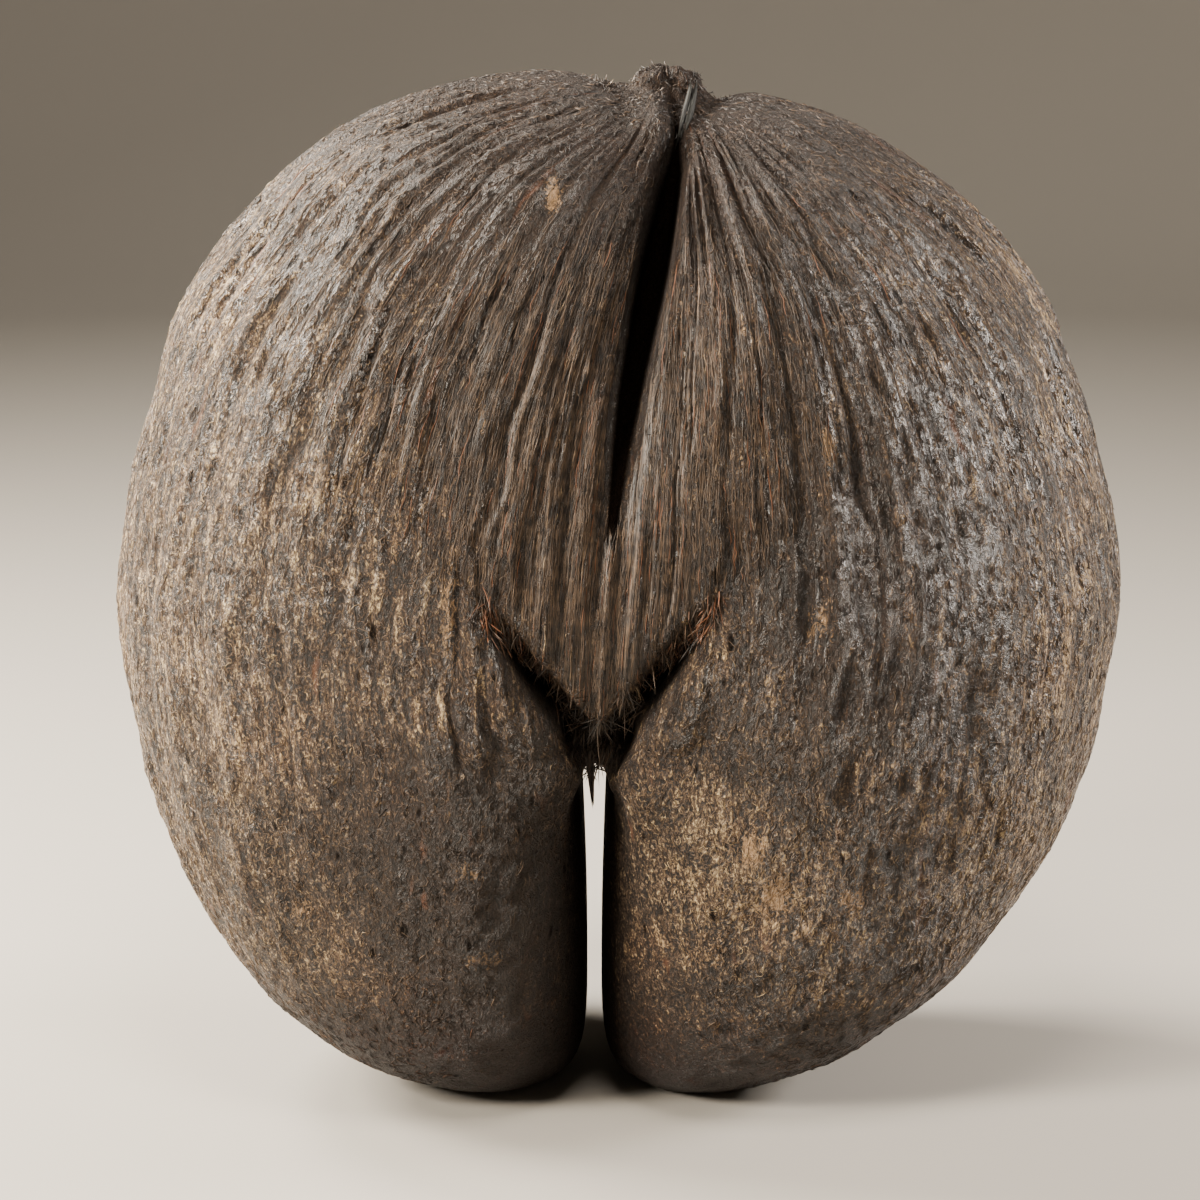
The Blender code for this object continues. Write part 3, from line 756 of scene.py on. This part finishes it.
def build_bristles(skin, fit, material):
    """Ragged bristles along the fan's lower edge and under its tip, and a tuft in the slit."""
    rng = np.random.default_rng(SEED + 52)
    run, above = fold_distance(skin["points"])
    front = (np.cos(skin["angle"]) > 0.2) * (run < BRISTLE_RUN)
    fringe = front * bell(above - 2.2, 1.9) * (0.5 + bell(run - 30, 10) + 0.5 * bell(run, 8))
    mass = front * bell(above - 1.0, 3.0) * bell(run, 5)
    parts = [edge_bristles(skin, fringe, FRINGE_COUNT, FRINGE_LENGTH, 0.35, rng),
             edge_bristles(skin, mass, MASS_COUNT, MASS_LENGTH, 0.05, rng)]
    # The tuft's bristles run from a wide root to one tip
    share = np.linspace(0, 1, 6)[:, None]
    root = np.array(TUFT_ROOT) + rng.uniform(-1, 1, (TUFT_COUNT, 1, 3)) * TUFT_SPREAD
    tip = np.array(TUFT_TIP) + rng.uniform(-1, 1, (TUFT_COUNT, 1, 3)) * (0.3, 1.5, 1.2)
    stop = rng.uniform(0.55, 1, (TUFT_COUNT, 1, 1))
    tuft = root + (tip - root) * share * stop
    parts.append((tuft, np.tile(np.array([0.2, -1.0, 0.1]), (TUFT_COUNT, 6, 1))))
    paths = np.concatenate([part[0] for part in parts])
    ups = unit(np.concatenate([part[1] for part in parts]))
    count = len(paths)
    width = rng.uniform(*BRISTLE_HALF_WIDTH, count)
    tubes_of_all = tubes(paths, ups, width, width * 1.6)
    # Rust-coloured at the outer ends of the folds, dark in the middle
    outer = np.clip(np.abs(paths[:, 0, 0] - FAN_TIP_X) / BRISTLE_RUN, 0, 1)
    tones = np.stack([rng.beta(1.2, 3.2, count),
                      np.clip(rng.beta(1.2, 1.6, count) * (0.5 + 0.8 * outer), 0, 1),
                      np.clip(rng.uniform(0.1, 0.9, count) - 0.4 * outer, 0, 1)], axis=1)
    build_fibres("fork_bristles", fit, tubes_of_all, tones, material)


# Scar: short tufts all over it, two spikes on top, and a sliver of stalk skin on its right front side, given
# by the x and z of its middle line
SCAR_TUFT_COUNT = 420
SCAR_SPIKES = ((18.6, 2.0, 299.0), (20.6, 1.0, 299.0))
SLIVER = ((25.6, 298.5), (24.9, 295.0), (23.6, 291.0), (22.4, 287.0), (21.6, 283.0))
SLIVER_HALF_WIDTH = 1.2
SLIVER_STRIPS = 7


def front_point(skin, x, z):
    """The point of the skin's front that lies nearest to an x and a z, and the skin's normal there."""
    away = (skin["points"][..., 0] - x)**2 + (skin["points"][..., 2] - z)**2
    away = np.where(np.cos(skin["angle"]) > 0, away, np.inf)
    row, column = np.unravel_index(np.argmin(away), away.shape)
    return skin["points"][row, column], skin["normal"][row, column]


def build_scar_details(skin, fit, fibre, stalk):
    """Tufts and spikes of fibre on the scar, and the sliver as uneven strips side by side."""
    rng = np.random.default_rng(SEED + 53)
    rows, columns = scatter(skin, SCAR_TUFT_COUNT, (skin["place"] < 0.06) * 1.0, rng)
    normal = unit(at_grid(skin["normal"], rows, columns))
    ahead = unit(normal * 0.7 + rng.normal(0, 0.6, normal.shape))
    starts = at_grid(skin["points"], rows, columns) - normal * 0.3
    tufts = hanging_paths(starts, ahead, rng.uniform(0.8, 2.6, SCAR_TUFT_COUNT), 0.1, 6, rng)
    rise = np.linspace(-2.5, 2.2, 6)[:, None] * np.array([0.15, 0, 1.0])
    spikes = np.array(SCAR_SPIKES)[:, None] + rise
    paths = np.concatenate([tufts, spikes])
    ups = np.concatenate([np.repeat(normal[:, None], 6, axis=1),
                          np.tile([0.0, -1.0, 0.0], (len(spikes), 6, 1))])
    count = len(paths)
    width = np.concatenate([rng.uniform(0.10, 0.20, SCAR_TUFT_COUNT), np.full(len(spikes), 0.45)])
    tones = np.stack([rng.beta(1.5, 3.0, count), rng.uniform(0, 0.4, count), rng.uniform(0, 0.5, count)],
                     axis=1)
    build_fibres("scar_tufts", fit, tubes(paths, ups, width, width * 1.6), tones, fibre)

    found = [front_point(skin, x, z) for x, z in SLIVER]
    path = np.array([point + normal * 0.4 for point, normal in found])
    side = np.linspace(-SLIVER_HALF_WIDTH, SLIVER_HALF_WIDTH, SLIVER_STRIPS)[:, None, None]
    paths = path + side * np.array([1.0, 0.3, 0.15]) + rng.normal(0, 0.22, (SLIVER_STRIPS, len(found), 3))
    paths[..., 2] += rng.normal(0, 1.2, (SLIVER_STRIPS, 1))
    ups = np.repeat(np.array([[normal for point, normal in found]]), SLIVER_STRIPS, axis=0)
    parts = tubes(paths, ups, rng.uniform(0.45, 0.75, SLIVER_STRIPS), rng.uniform(0.3, 0.7, SLIVER_STRIPS))
    build_fibres("stalk_sliver", fit, parts, np.zeros((SLIVER_STRIPS, 3)), stalk)


# Materials

def linear(code):
    """Linear colour of an sRGB hex code."""
    parts = np.array([int(code[i:i + 2], 16) for i in (1, 3, 5)]) / 255
    return (*np.where(parts <= 0.04045, parts / 12.92, ((parts + 0.055) / 1.055)**2.4), 1.0)


def add(tree, kind, inputs=None, **settings):
    """Adds a shader node with its settings. An input is a number, a colour or the socket that feeds it."""
    node = tree.nodes.new("ShaderNode" + kind)
    for name, value in settings.items():
        setattr(node, name, value)
    for name, value in (inputs or {}).items():
        if isinstance(value, bpy.types.NodeSocket):
            tree.links.new(value, node.inputs[name])
        else:
            node.inputs[name].default_value = value
    return node


# Dry palm husk, weathered and handled: the eye sees a felt of short curled fibres over wavy ropes, with a
# dull shine and a painted highlight on what stands up, painted shade in what lies low and in the slots
# between the ropes, and pale flakes, partly worn outer skin and partly painted highlight
DEEP_FIBRE = "#110b07"
MID_FIBRE = "#2e2219"
LIGHT_FIBRE = "#675340"
PALE_FLAKE = "#c9b389"
WORN_FIBRE = "#a5845f"
RUST_FIBRE = "#7e4e30"
STALK_DARK = "#080806"
STALK_LIGHT = "#1c1d18"
# Painted shade in the hollows of the husk, and the darkest tone of the fibres
CREVICE = "#0b0705"
HUSK_ROUGHNESS = (0.30, 0.52)

# Noise patterns: name, run along the fibres or plain, width and length in millimetres, and settings. The felt
# and the curls are drawn coarser than the real hairs, which are 0.1 mm thick and wouldn't show
PATTERNS = (
    # Felt of curled fibres
    ("felt", False, 1.2, 1.9, {"Detail": 3.0, "Roughness": 0.75, "Distortion": 1.3}),
    # Curled single fibres, which are the lines where this noise passes its middle
    ("curl", False, 2.0, 2.6, {"Detail": 2.0, "Roughness": 0.65, "Distortion": 0.8}),
    # Fine fibres and ropes
    ("fine", True, 0.9, 11.0, {"Detail": 2.0, "Roughness": 0.6}),
    ("rope", True, 3.0, 18.0, {"Detail": 2.0, "Roughness": 0.6}),
    # Pale crests, which are lines like those of the curls, and rust-coloured fibres
    ("crest", True, 8.0, 55.0, {"Detail": 2.0, "Roughness": 0.5}),
    ("rust", True, 7.0, 60.0, {"Detail": 2.0, "Roughness": 0.7}),
    # Broad patches
    ("patch", False, 1000 / 28, 1000 / 28, {"Detail": 2.0, "Roughness": 0.65}),
)
# Half width of a line, in steps of its noise
LINE_WIDTHS = {"curl": 0.075, "crest": 0.030}
# Sideways waves of the fibres in millimetres: spacing and reach
WAVE_SPACING = 7.0
WAVE_REACH = 2.4
# Slots and pits between the ropes: width and length of their cells
SLOT_WIDTH = 4.5
SLOT_LENGTH = 12.0
# Relief in metres for one step of each pattern
STAND_HEIGHT = 0.0056
CURL_HEIGHT = 0.00013
CREST_HEIGHT = 0.0007
PIT_DEPTH = 0.0009
# How much the felt and the streaks count in what stands up, and how much paler the pale zones are
FELT_GAIN = 0.55
STREAK_GAIN = 0.22
PALE_GAIN = 0.14
# Share of the cells that have a pit, the size of the largest in cells, its steepness and its painted shade
PIT_SHARE = 0.4
PIT_SIZE = 0.30
PIT_STEEPNESS = 9.0
PIT_SHADE = 0.8
# Gloss at the scar and where the relief runs in streaks, roughness added to that of the felt at the scar,
# and how much the streaks take off it
HUSK_GLOSS = (0.25, 0.70)
SCAR_ROUGHNESS = 0.22
STREAK_SMOOTHNESS = 0.25
WARM_TINT = "#c88a55"


def start_material(name):
    """A new material, its node tree and its shader."""
    material = bpy.data.materials.new(name)
    material.use_nodes = True
    return material, material.node_tree, material.node_tree.nodes["Principled BSDF"]


def husk_material():
    """Felt, fibres and ropes as noise in millimetres, which set the relief and, from low up, the colour:
    painted shade where the relief lies low and a painted highlight where it stands up.
    """
    material, tree, shader = start_material("dry_palm_husk")
    fibre = add(tree, "Attribute", attribute_name="fibre").outputs["Vector"]
    zones = add(tree, "Attribute", attribute_name="zones")
    zone = add(tree, "SeparateColor", {"Color": zones.outputs["Color"]})
    pale, warm, dark = (zone.outputs[name] for name in ("Red", "Green", "Blue"))
    lobe = zones.outputs["Alpha"]
    share = add(tree, "Attribute", attribute_name="streaks").outputs["Fac"]
    objects = add(tree, "TexCoord").outputs["Object"]
    # Object coordinates in millimetres
    spot = add(tree, "VectorMath", {0: objects, 1: (1000, 1000, 1000)}, operation="MULTIPLY").outputs[0]
    # Along the fibres above the fork and up and down on the lobes, pushed sideways by a wave
    run = add(tree, "Mix", {0: lobe, 4: fibre, 5: spot}, data_type="VECTOR").outputs[1]
    wave_at = add(tree, "VectorMath", {0: spot, 1: [1 / WAVE_SPACING] * 3}, operation="MULTIPLY").outputs[0]
    wave = add(tree, "TexNoise", {"Vector": wave_at, "Scale": 1.0, "Detail": 1.0}).outputs["Color"]
    run = add(tree, "VectorMath", {0: wave, 1: (WAVE_REACH, WAVE_REACH, 0), 2: run},
              operation="MULTIPLY_ADD").outputs[0]

    found = {}
    for name, along, width, length, settings in PATTERNS:
        cells = (1 / width, 1 / width, 1 / length)
        at = add(tree, "VectorMath", {0: run if along else spot, 1: cells}, operation="MULTIPLY").outputs[0]
        found[name] = add(tree, "TexNoise", {"Vector": at, "Scale": 1.0, **settings}).outputs["Fac"]
    for name, width in LINE_WIDTHS.items():
        off = add(tree, "Math", {0: found[name], 1: 0.5}, operation="SUBTRACT").outputs[0]
        off = add(tree, "Math", {0: off}, operation="ABSOLUTE").outputs[0]
        found[name] = add(tree, "MapRange", {"Value": off, "From Min": 0.0, "From Max": width,
                                             "To Min": 1.0, "To Max": 0.0}).outputs[0]
    felt, curl, fine, rope, crest, rust, patch = (found[name] for name, *_ in PATTERNS)
    # Crests show in some places only, and where the relief runs in streaks
    some = add(tree, "MapRange", {"Value": patch, "From Min": 0.42, "From Max": 0.58}).outputs[0]
    crest = add(tree, "Math", {0: crest, 1: some}, operation="MULTIPLY").outputs[0]
    crest = add(tree, "Math", {0: crest, 1: share}, operation="MULTIPLY").outputs[0]
    # Slots and pits, only some of them deep
    slot_cells = (1 / SLOT_WIDTH, 1 / SLOT_WIDTH, 1 / SLOT_LENGTH)
    slot_at = add(tree, "VectorMath", {0: run, 1: slot_cells}, operation="MULTIPLY").outputs[0]
    slots = add(tree, "TexVoronoi", {"Vector": slot_at, "Scale": 1.0})
    chosen = add(tree, "SeparateColor", {"Color": slots.outputs["Color"]}).outputs["Red"]
    reach = add(tree, "MapRange", {"Value": chosen, "From Min": 1 - PIT_SHARE, "From Max": 1.0,
                                   "To Min": 0.0, "To Max": PIT_SIZE}).outputs[0]
    pit = add(tree, "Math", {0: reach, 1: slots.outputs["Distance"]}, operation="SUBTRACT").outputs[0]
    pit = add(tree, "Math", {0: pit, 1: PIT_STEEPNESS}, operation="MULTIPLY", use_clamp=True).outputs[0]

    # How far the surface stands up, about 0.5 in the middle
    streaks = add(tree, "Math", {0: fine, 1: rope}, operation="ADD").outputs[0]
    streaks = add(tree, "Math", {0: streaks, 1: 1.0}, operation="SUBTRACT").outputs[0]
    streaks = add(tree, "Math", {0: streaks, 1: share}, operation="MULTIPLY").outputs[0]
    stand = add(tree, "Math", {0: felt, 1: FELT_GAIN, 2: (1 - FELT_GAIN) / 2},
                operation="MULTIPLY_ADD").outputs[0]
    stand = add(tree, "Math", {0: streaks, 1: STREAK_GAIN, 2: stand}, operation="MULTIPLY_ADD").outputs[0]
    # What stands up is painted paler and what lies low darker, as painted highlight and shade of the relief;
    # single fibres, crests and some patches are paler too, and so are the pale zones
    lift = stand
    for pattern, gain in ((curl, 0.035), (crest, 0.07), (patch, 0.10)):
        lift = add(tree, "Math", {0: pattern, 1: gain, 2: lift}, operation="MULTIPLY_ADD").outputs[0]
    low = add(tree, "MapRange", {"Value": lift, "From Min": 0.49, "From Max": 0.57}).outputs[0]
    colour = add(tree, "Mix", {0: low, 6: linear(DEEP_FIBRE), 7: linear(MID_FIBRE)},
                 data_type="RGBA").outputs[2]
    # The pale zones bring their painted light and shade into the colour
    pale = add(tree, "Math", {0: pale, 1: 0.5}, operation="SUBTRACT").outputs[0]
    lift = add(tree, "Math", {0: pale, 1: PALE_GAIN, 2: lift}, operation="MULTIPLY_ADD").outputs[0]
    # A few of the rust-coloured fibres show, and worn spots have edges as ragged as the felt
    worn = add(tree, "Attribute", attribute_name="worn").outputs["Fac"]
    worn = add(tree, "Math", {0: worn, 1: 0.30, 2: stand}, operation="MULTIPLY_ADD").outputs[0]
    high, top, few, bare = (
        add(tree, "MapRange", {"Value": value, "From Min": dim, "From Max": full, "To Max": most}).outputs[0]
        for value, dim, full, most in ((lift, 0.57, 0.63, 1.0), (lift, 0.635, 0.70, 1.0),
                                       (rust, 0.66, 0.80, 0.6), (worn, 0.62, 0.72, 0.85)))
    # Warm brown towards the bottoms, a painted warm reflection, and in patches of the husk's own tone, laid
    # over as a tint so that the felt still shows
    glow = add(tree, "MapRange", {"Value": patch, "From Min": 0.45, "From Max": 0.70,
                                  "To Max": 0.30}).outputs[0]
    glow = add(tree, "Math", {0: warm, 1: 0.8, 2: glow}, operation="MULTIPLY_ADD", use_clamp=True).outputs[0]
    # Painted shade in the pits, folds, cleft and slit
    hollow = add(tree, "Math", {0: pit, 1: PIT_SHADE}, operation="MULTIPLY").outputs[0]
    hollow = add(tree, "Math", {0: hollow, 1: dark}, operation="MAXIMUM").outputs[0]
    # The light and pale layers are mostly painted highlight on what stands up, with pale flakes among them;
    # the crevice layer is painted shade
    layers = ((high, LIGHT_FIBRE, "MIX"), (top, PALE_FLAKE, "MIX"), (few, RUST_FIBRE, "MIX"),
              (glow, WARM_TINT, "MULTIPLY"), (bare, WORN_FIBRE, "MIX"), (hollow, CREVICE, "MIX"))
    for level, code, blend in layers:
        colour = add(tree, "Mix", {0: level, 6: colour, 7: linear(code)},
                     data_type="RGBA", blend_type=blend).outputs[2]
    tree.links.new(colour, shader.inputs["Base Color"])

    # What stands up is smoother. All is matt near the scar, where the felt is thick, and in the hollows
    rough = add(tree, "MapRange", {"Value": felt, "From Min": 0.3, "From Max": 0.7,
                                   "To Min": HUSK_ROUGHNESS[1], "To Max": HUSK_ROUGHNESS[0]}).outputs[0]
    rough = add(tree, "Math", {0: share, 1: -STREAK_SMOOTHNESS, 2: rough},
                operation="MULTIPLY_ADD").outputs[0]
    rough = add(tree, "Math", {0: rough, 1: SCAR_ROUGHNESS}, operation="ADD", use_clamp=True).outputs[0]
    tree.links.new(rough, shader.inputs["Roughness"])
    gloss = add(tree, "Math", {0: share, 1: HUSK_GLOSS[1] - HUSK_GLOSS[0], 2: HUSK_GLOSS[0]},
                operation="MULTIPLY_ADD").outputs[0]
    shut = add(tree, "Math", {0: 1.0, 1: hollow}, operation="SUBTRACT").outputs[0]
    gloss = add(tree, "Math", {0: gloss, 1: shut}, operation="MULTIPLY").outputs[0]
    tree.links.new(gloss, shader.inputs["Specular IOR Level"])

    height = add(tree, "Math", {0: stand, 1: STAND_HEIGHT}, operation="MULTIPLY").outputs[0]
    for pattern, gain in ((curl, CURL_HEIGHT), (crest, CREST_HEIGHT), (pit, -PIT_DEPTH)):
        height = add(tree, "Math", {0: pattern, 1: gain, 2: height}, operation="MULTIPLY_ADD").outputs[0]
    bump = add(tree, "Bump", {"Height": height, "Distance": 1.0, "Strength": 1.0})
    tree.links.new(bump.outputs["Normal"], shader.inputs["Normal"])
    return material


def fibre_material():
    """Dry palm fibre: each has its own tone from dark to pale, some are rust-coloured, all shine a little."""
    material, tree, shader = start_material("dry_palm_fibre")
    tone = add(tree, "Attribute", attribute_name="tone").outputs["Color"]
    part = add(tree, "SeparateColor", {"Color": tone})
    pale, warm, dark = (part.outputs[name] for name in ("Red", "Green", "Blue"))
    objects = add(tree, "TexCoord").outputs["Object"]
    # Change of tone along a fibre, over 3 mm
    change = add(tree, "TexNoise", {"Vector": objects, "Scale": 330.0, "Detail": 2.0}).outputs["Fac"]
    level = add(tree, "Math", {0: change, 1: 0.9, 2: pale}, operation="MULTIPLY_ADD").outputs[0]
    low, high, rust = (
        add(tree, "MapRange", {"Value": value, "From Min": dim, "From Max": full, "To Max": most}).outputs[0]
        for value, dim, full, most in ((level, 0.50, 1.30, 1.0), (level, 1.25, 1.75, 1.0),
                                       (warm, 0.45, 1.0, 0.7)))
    colour = linear(DEEP_FIBRE)
    for share, code in ((low, LIGHT_FIBRE), (high, PALE_FLAKE), (rust, RUST_FIBRE), (dark, CREVICE)):
        colour = add(tree, "Mix", {0: share, 6: colour, 7: linear(code)}, data_type="RGBA").outputs[2]
    tree.links.new(colour, shader.inputs["Base Color"])
    shader.inputs["Roughness"].default_value = 0.5
    return material


def stalk_material():
    """Dried skin of the flower stalk: matt, a very dark grey-green, a little mottled every 2 mm."""
    material, tree, shader = start_material("dried_stalk_skin")
    objects = add(tree, "TexCoord").outputs["Object"]
    mottle = add(tree, "TexNoise", {"Vector": objects, "Scale": 500.0, "Detail": 2.0}).outputs["Fac"]
    mottle = add(tree, "MapRange", {"Value": mottle, "From Min": 0.35, "From Max": 0.65}).outputs[0]
    colour = add(tree, "Mix", {0: mottle, 6: linear(STALK_DARK), 7: linear(STALK_LIGHT)},
                 data_type="RGBA").outputs[2]
    tree.links.new(colour, shader.inputs["Base Color"])
    shader.inputs["Roughness"].default_value = 0.85
    return material


def build_skin(skin, fit):
    """The whole outside of the nut as one closed surface."""
    values = (
        ("streaks", "FLOAT", "value", one_pole_each_end(streak_share(skin))),
        ("worn", "FLOAT", "value", one_pole_each_end(scuff_values(skin))),
        ("fibre", "FLOAT_VECTOR", "vector", one_pole_each_end(skin["fibre"])),
        ("zones", "FLOAT_COLOR", "color", one_pole_each_end(zone_values(skin))),
    )
    points = fit(one_pole_each_end(skin["points"]))
    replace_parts(mesh_piece("husk_skin", points, skin_faces(), husk_material(), values), "nut")


# Floor, light and camera

CAMERA_DISTANCE = 1.15
CAMERA_AIM = Vector((-0.0055, 0.0, 0.143))
CAMERA_ELEVATION = math.radians(12)
# Pixels of the photograph, 1200 wide, that one metre takes up at the aim
PIXELS_PER_METRE = 3400
PHOTO_WIDTH = 1200
SENSOR_WIDTH = 36.0

# Lamps: name, place, size and power, and colour
LAMPS = (
    ("main_light", (-0.80, 0.18, 0.64), 0.30, 34.0, "#fff4e4"),
    ("left_back_light", (-0.60, 0.42, 0.86), 0.25, 22.0, "#fff6ea"),
    ("left_front_light", (-0.78, -0.55, 0.52), 0.25, 30.0, "#fff4e4"),
    ("side_light", (0.90, 0.10, 0.44), 0.28, 21.0, "#fff7ef"),
    ("top_light", (0.0, -0.45, 1.05), 0.30, 12.0, "#fff4e6"),
)
LAMP_AIM = Vector((0, 0, 0.15))
ROOM_LIGHT = "#d9dadb"
ROOM_LIGHT_STRENGTH = 0.04
FLOOR_COLOUR = "#9c978f"
FLOOR_RADIUS = 2.6
FLOOR_BEND = 0.9
FLOOR_HEIGHT = 2.6
FLOOR_TURNS = 64
FLOOR_BEND_STEPS = 12


def build_floor():
    """Plain pale floor that curves up into a wall all round: a profile turned about the upright axis."""
    curve = np.linspace(0, np.pi / 2, FLOOR_BEND_STEPS)
    flat = FLOOR_RADIUS - FLOOR_BEND
    bend = np.stack([flat + FLOOR_BEND * np.sin(curve), FLOOR_BEND - FLOOR_BEND * np.cos(curve)], -1)
    profile = np.concatenate([bend, [(FLOOR_RADIUS, FLOOR_HEIGHT)]])
    turn = 2 * np.pi * np.arange(FLOOR_TURNS) / FLOOR_TURNS
    rings = np.stack([profile[:, :1] * np.cos(turn), profile[:, :1] * np.sin(turn),
                      profile[:, 1:] + 0 * turn], -1)
    faces = [tuple(range(FLOOR_TURNS))]
    for row in range(len(profile) - 1):
        for here in range(FLOOR_TURNS):
            after = (here + 1) % FLOOR_TURNS
            corners = ((row, here), (row + 1, here), (row + 1, after), (row, after))
            faces.append(tuple(ring * FLOOR_TURNS + place for ring, place in corners))
    mesh = bpy.data.meshes.new("floor")
    mesh.from_pydata(rings.reshape(-1, 3).tolist(), [], faces)
    mesh.shade_smooth()
    material, tree, shader = start_material("pale_matt_paper")
    shader.inputs["Base Color"].default_value = linear(FLOOR_COLOUR)
    shader.inputs["Roughness"].default_value = 0.9
    mesh.materials.append(material)
    floor = bpy.data.objects.new("floor", mesh)
    bpy.context.scene.collection.objects.link(floor)


def add_light(name, place, size, power, colour):
    """Soft square lamp at a place, turned to the middle of the nut."""
    lamp = bpy.data.lights.new(name, "AREA")
    lamp.size = size
    lamp.energy = power
    lamp.color = linear(colour)[:3]
    light = bpy.data.objects.new(name, lamp)
    light.location = place
    light.rotation_mode = "QUATERNION"
    light.rotation_quaternion = (LAMP_AIM - Vector(place)).to_track_quat("-Z", "Y")
    bpy.context.scene.collection.objects.link(light)


def build_lights():
    """Three lamps on the left for the sheen there, one on the right, one above, and faint light all round."""
    for name, place, size, power, colour in LAMPS:
        add_light(name, place, size, power, colour)
    world = bpy.data.worlds.new("studio")
    world.use_nodes = True
    world.node_tree.nodes["Background"].inputs["Color"].default_value = linear(ROOM_LIGHT)
    world.node_tree.nodes["Background"].inputs["Strength"].default_value = ROOM_LIGHT_STRENGTH
    bpy.context.scene.world = world


def build_camera():
    """Camera in front of the nut, looking down on it a little, framed as in the photograph."""
    camera = bpy.data.cameras.new("camera")
    camera.sensor_width = SENSOR_WIDTH
    camera.lens = PIXELS_PER_METRE * CAMERA_DISTANCE * SENSOR_WIDTH / PHOTO_WIDTH
    back = Vector((0, -math.cos(CAMERA_ELEVATION), math.sin(CAMERA_ELEVATION)))
    holder = bpy.data.objects.new("camera", camera)
    holder.location = CAMERA_AIM + back * CAMERA_DISTANCE
    holder.rotation_mode = "QUATERNION"
    holder.rotation_quaternion = (-back).to_track_quat("-Z", "Y")
    bpy.context.scene.collection.objects.link(holder)
    bpy.context.scene.camera = holder


def main():
    """Builds every piece, the floor, the lights and the camera."""
    skin = skin_grid()
    low, high = skin["points"].min((0, 1)), skin["points"].max((0, 1))

    def fit(points):
        return fitted(points, low, high)

    build_skin(skin, fit)
    fibre = fibre_material()
    build_felt(skin, fit, fibre)
    build_strands(skin, fit, fibre)
    build_bristles(skin, fit, fibre)
    build_scar_details(skin, fit, fibre, stalk_material())
    build_floor()
    build_lights()
    build_camera()


main()
bpy.context.view_layer.update()
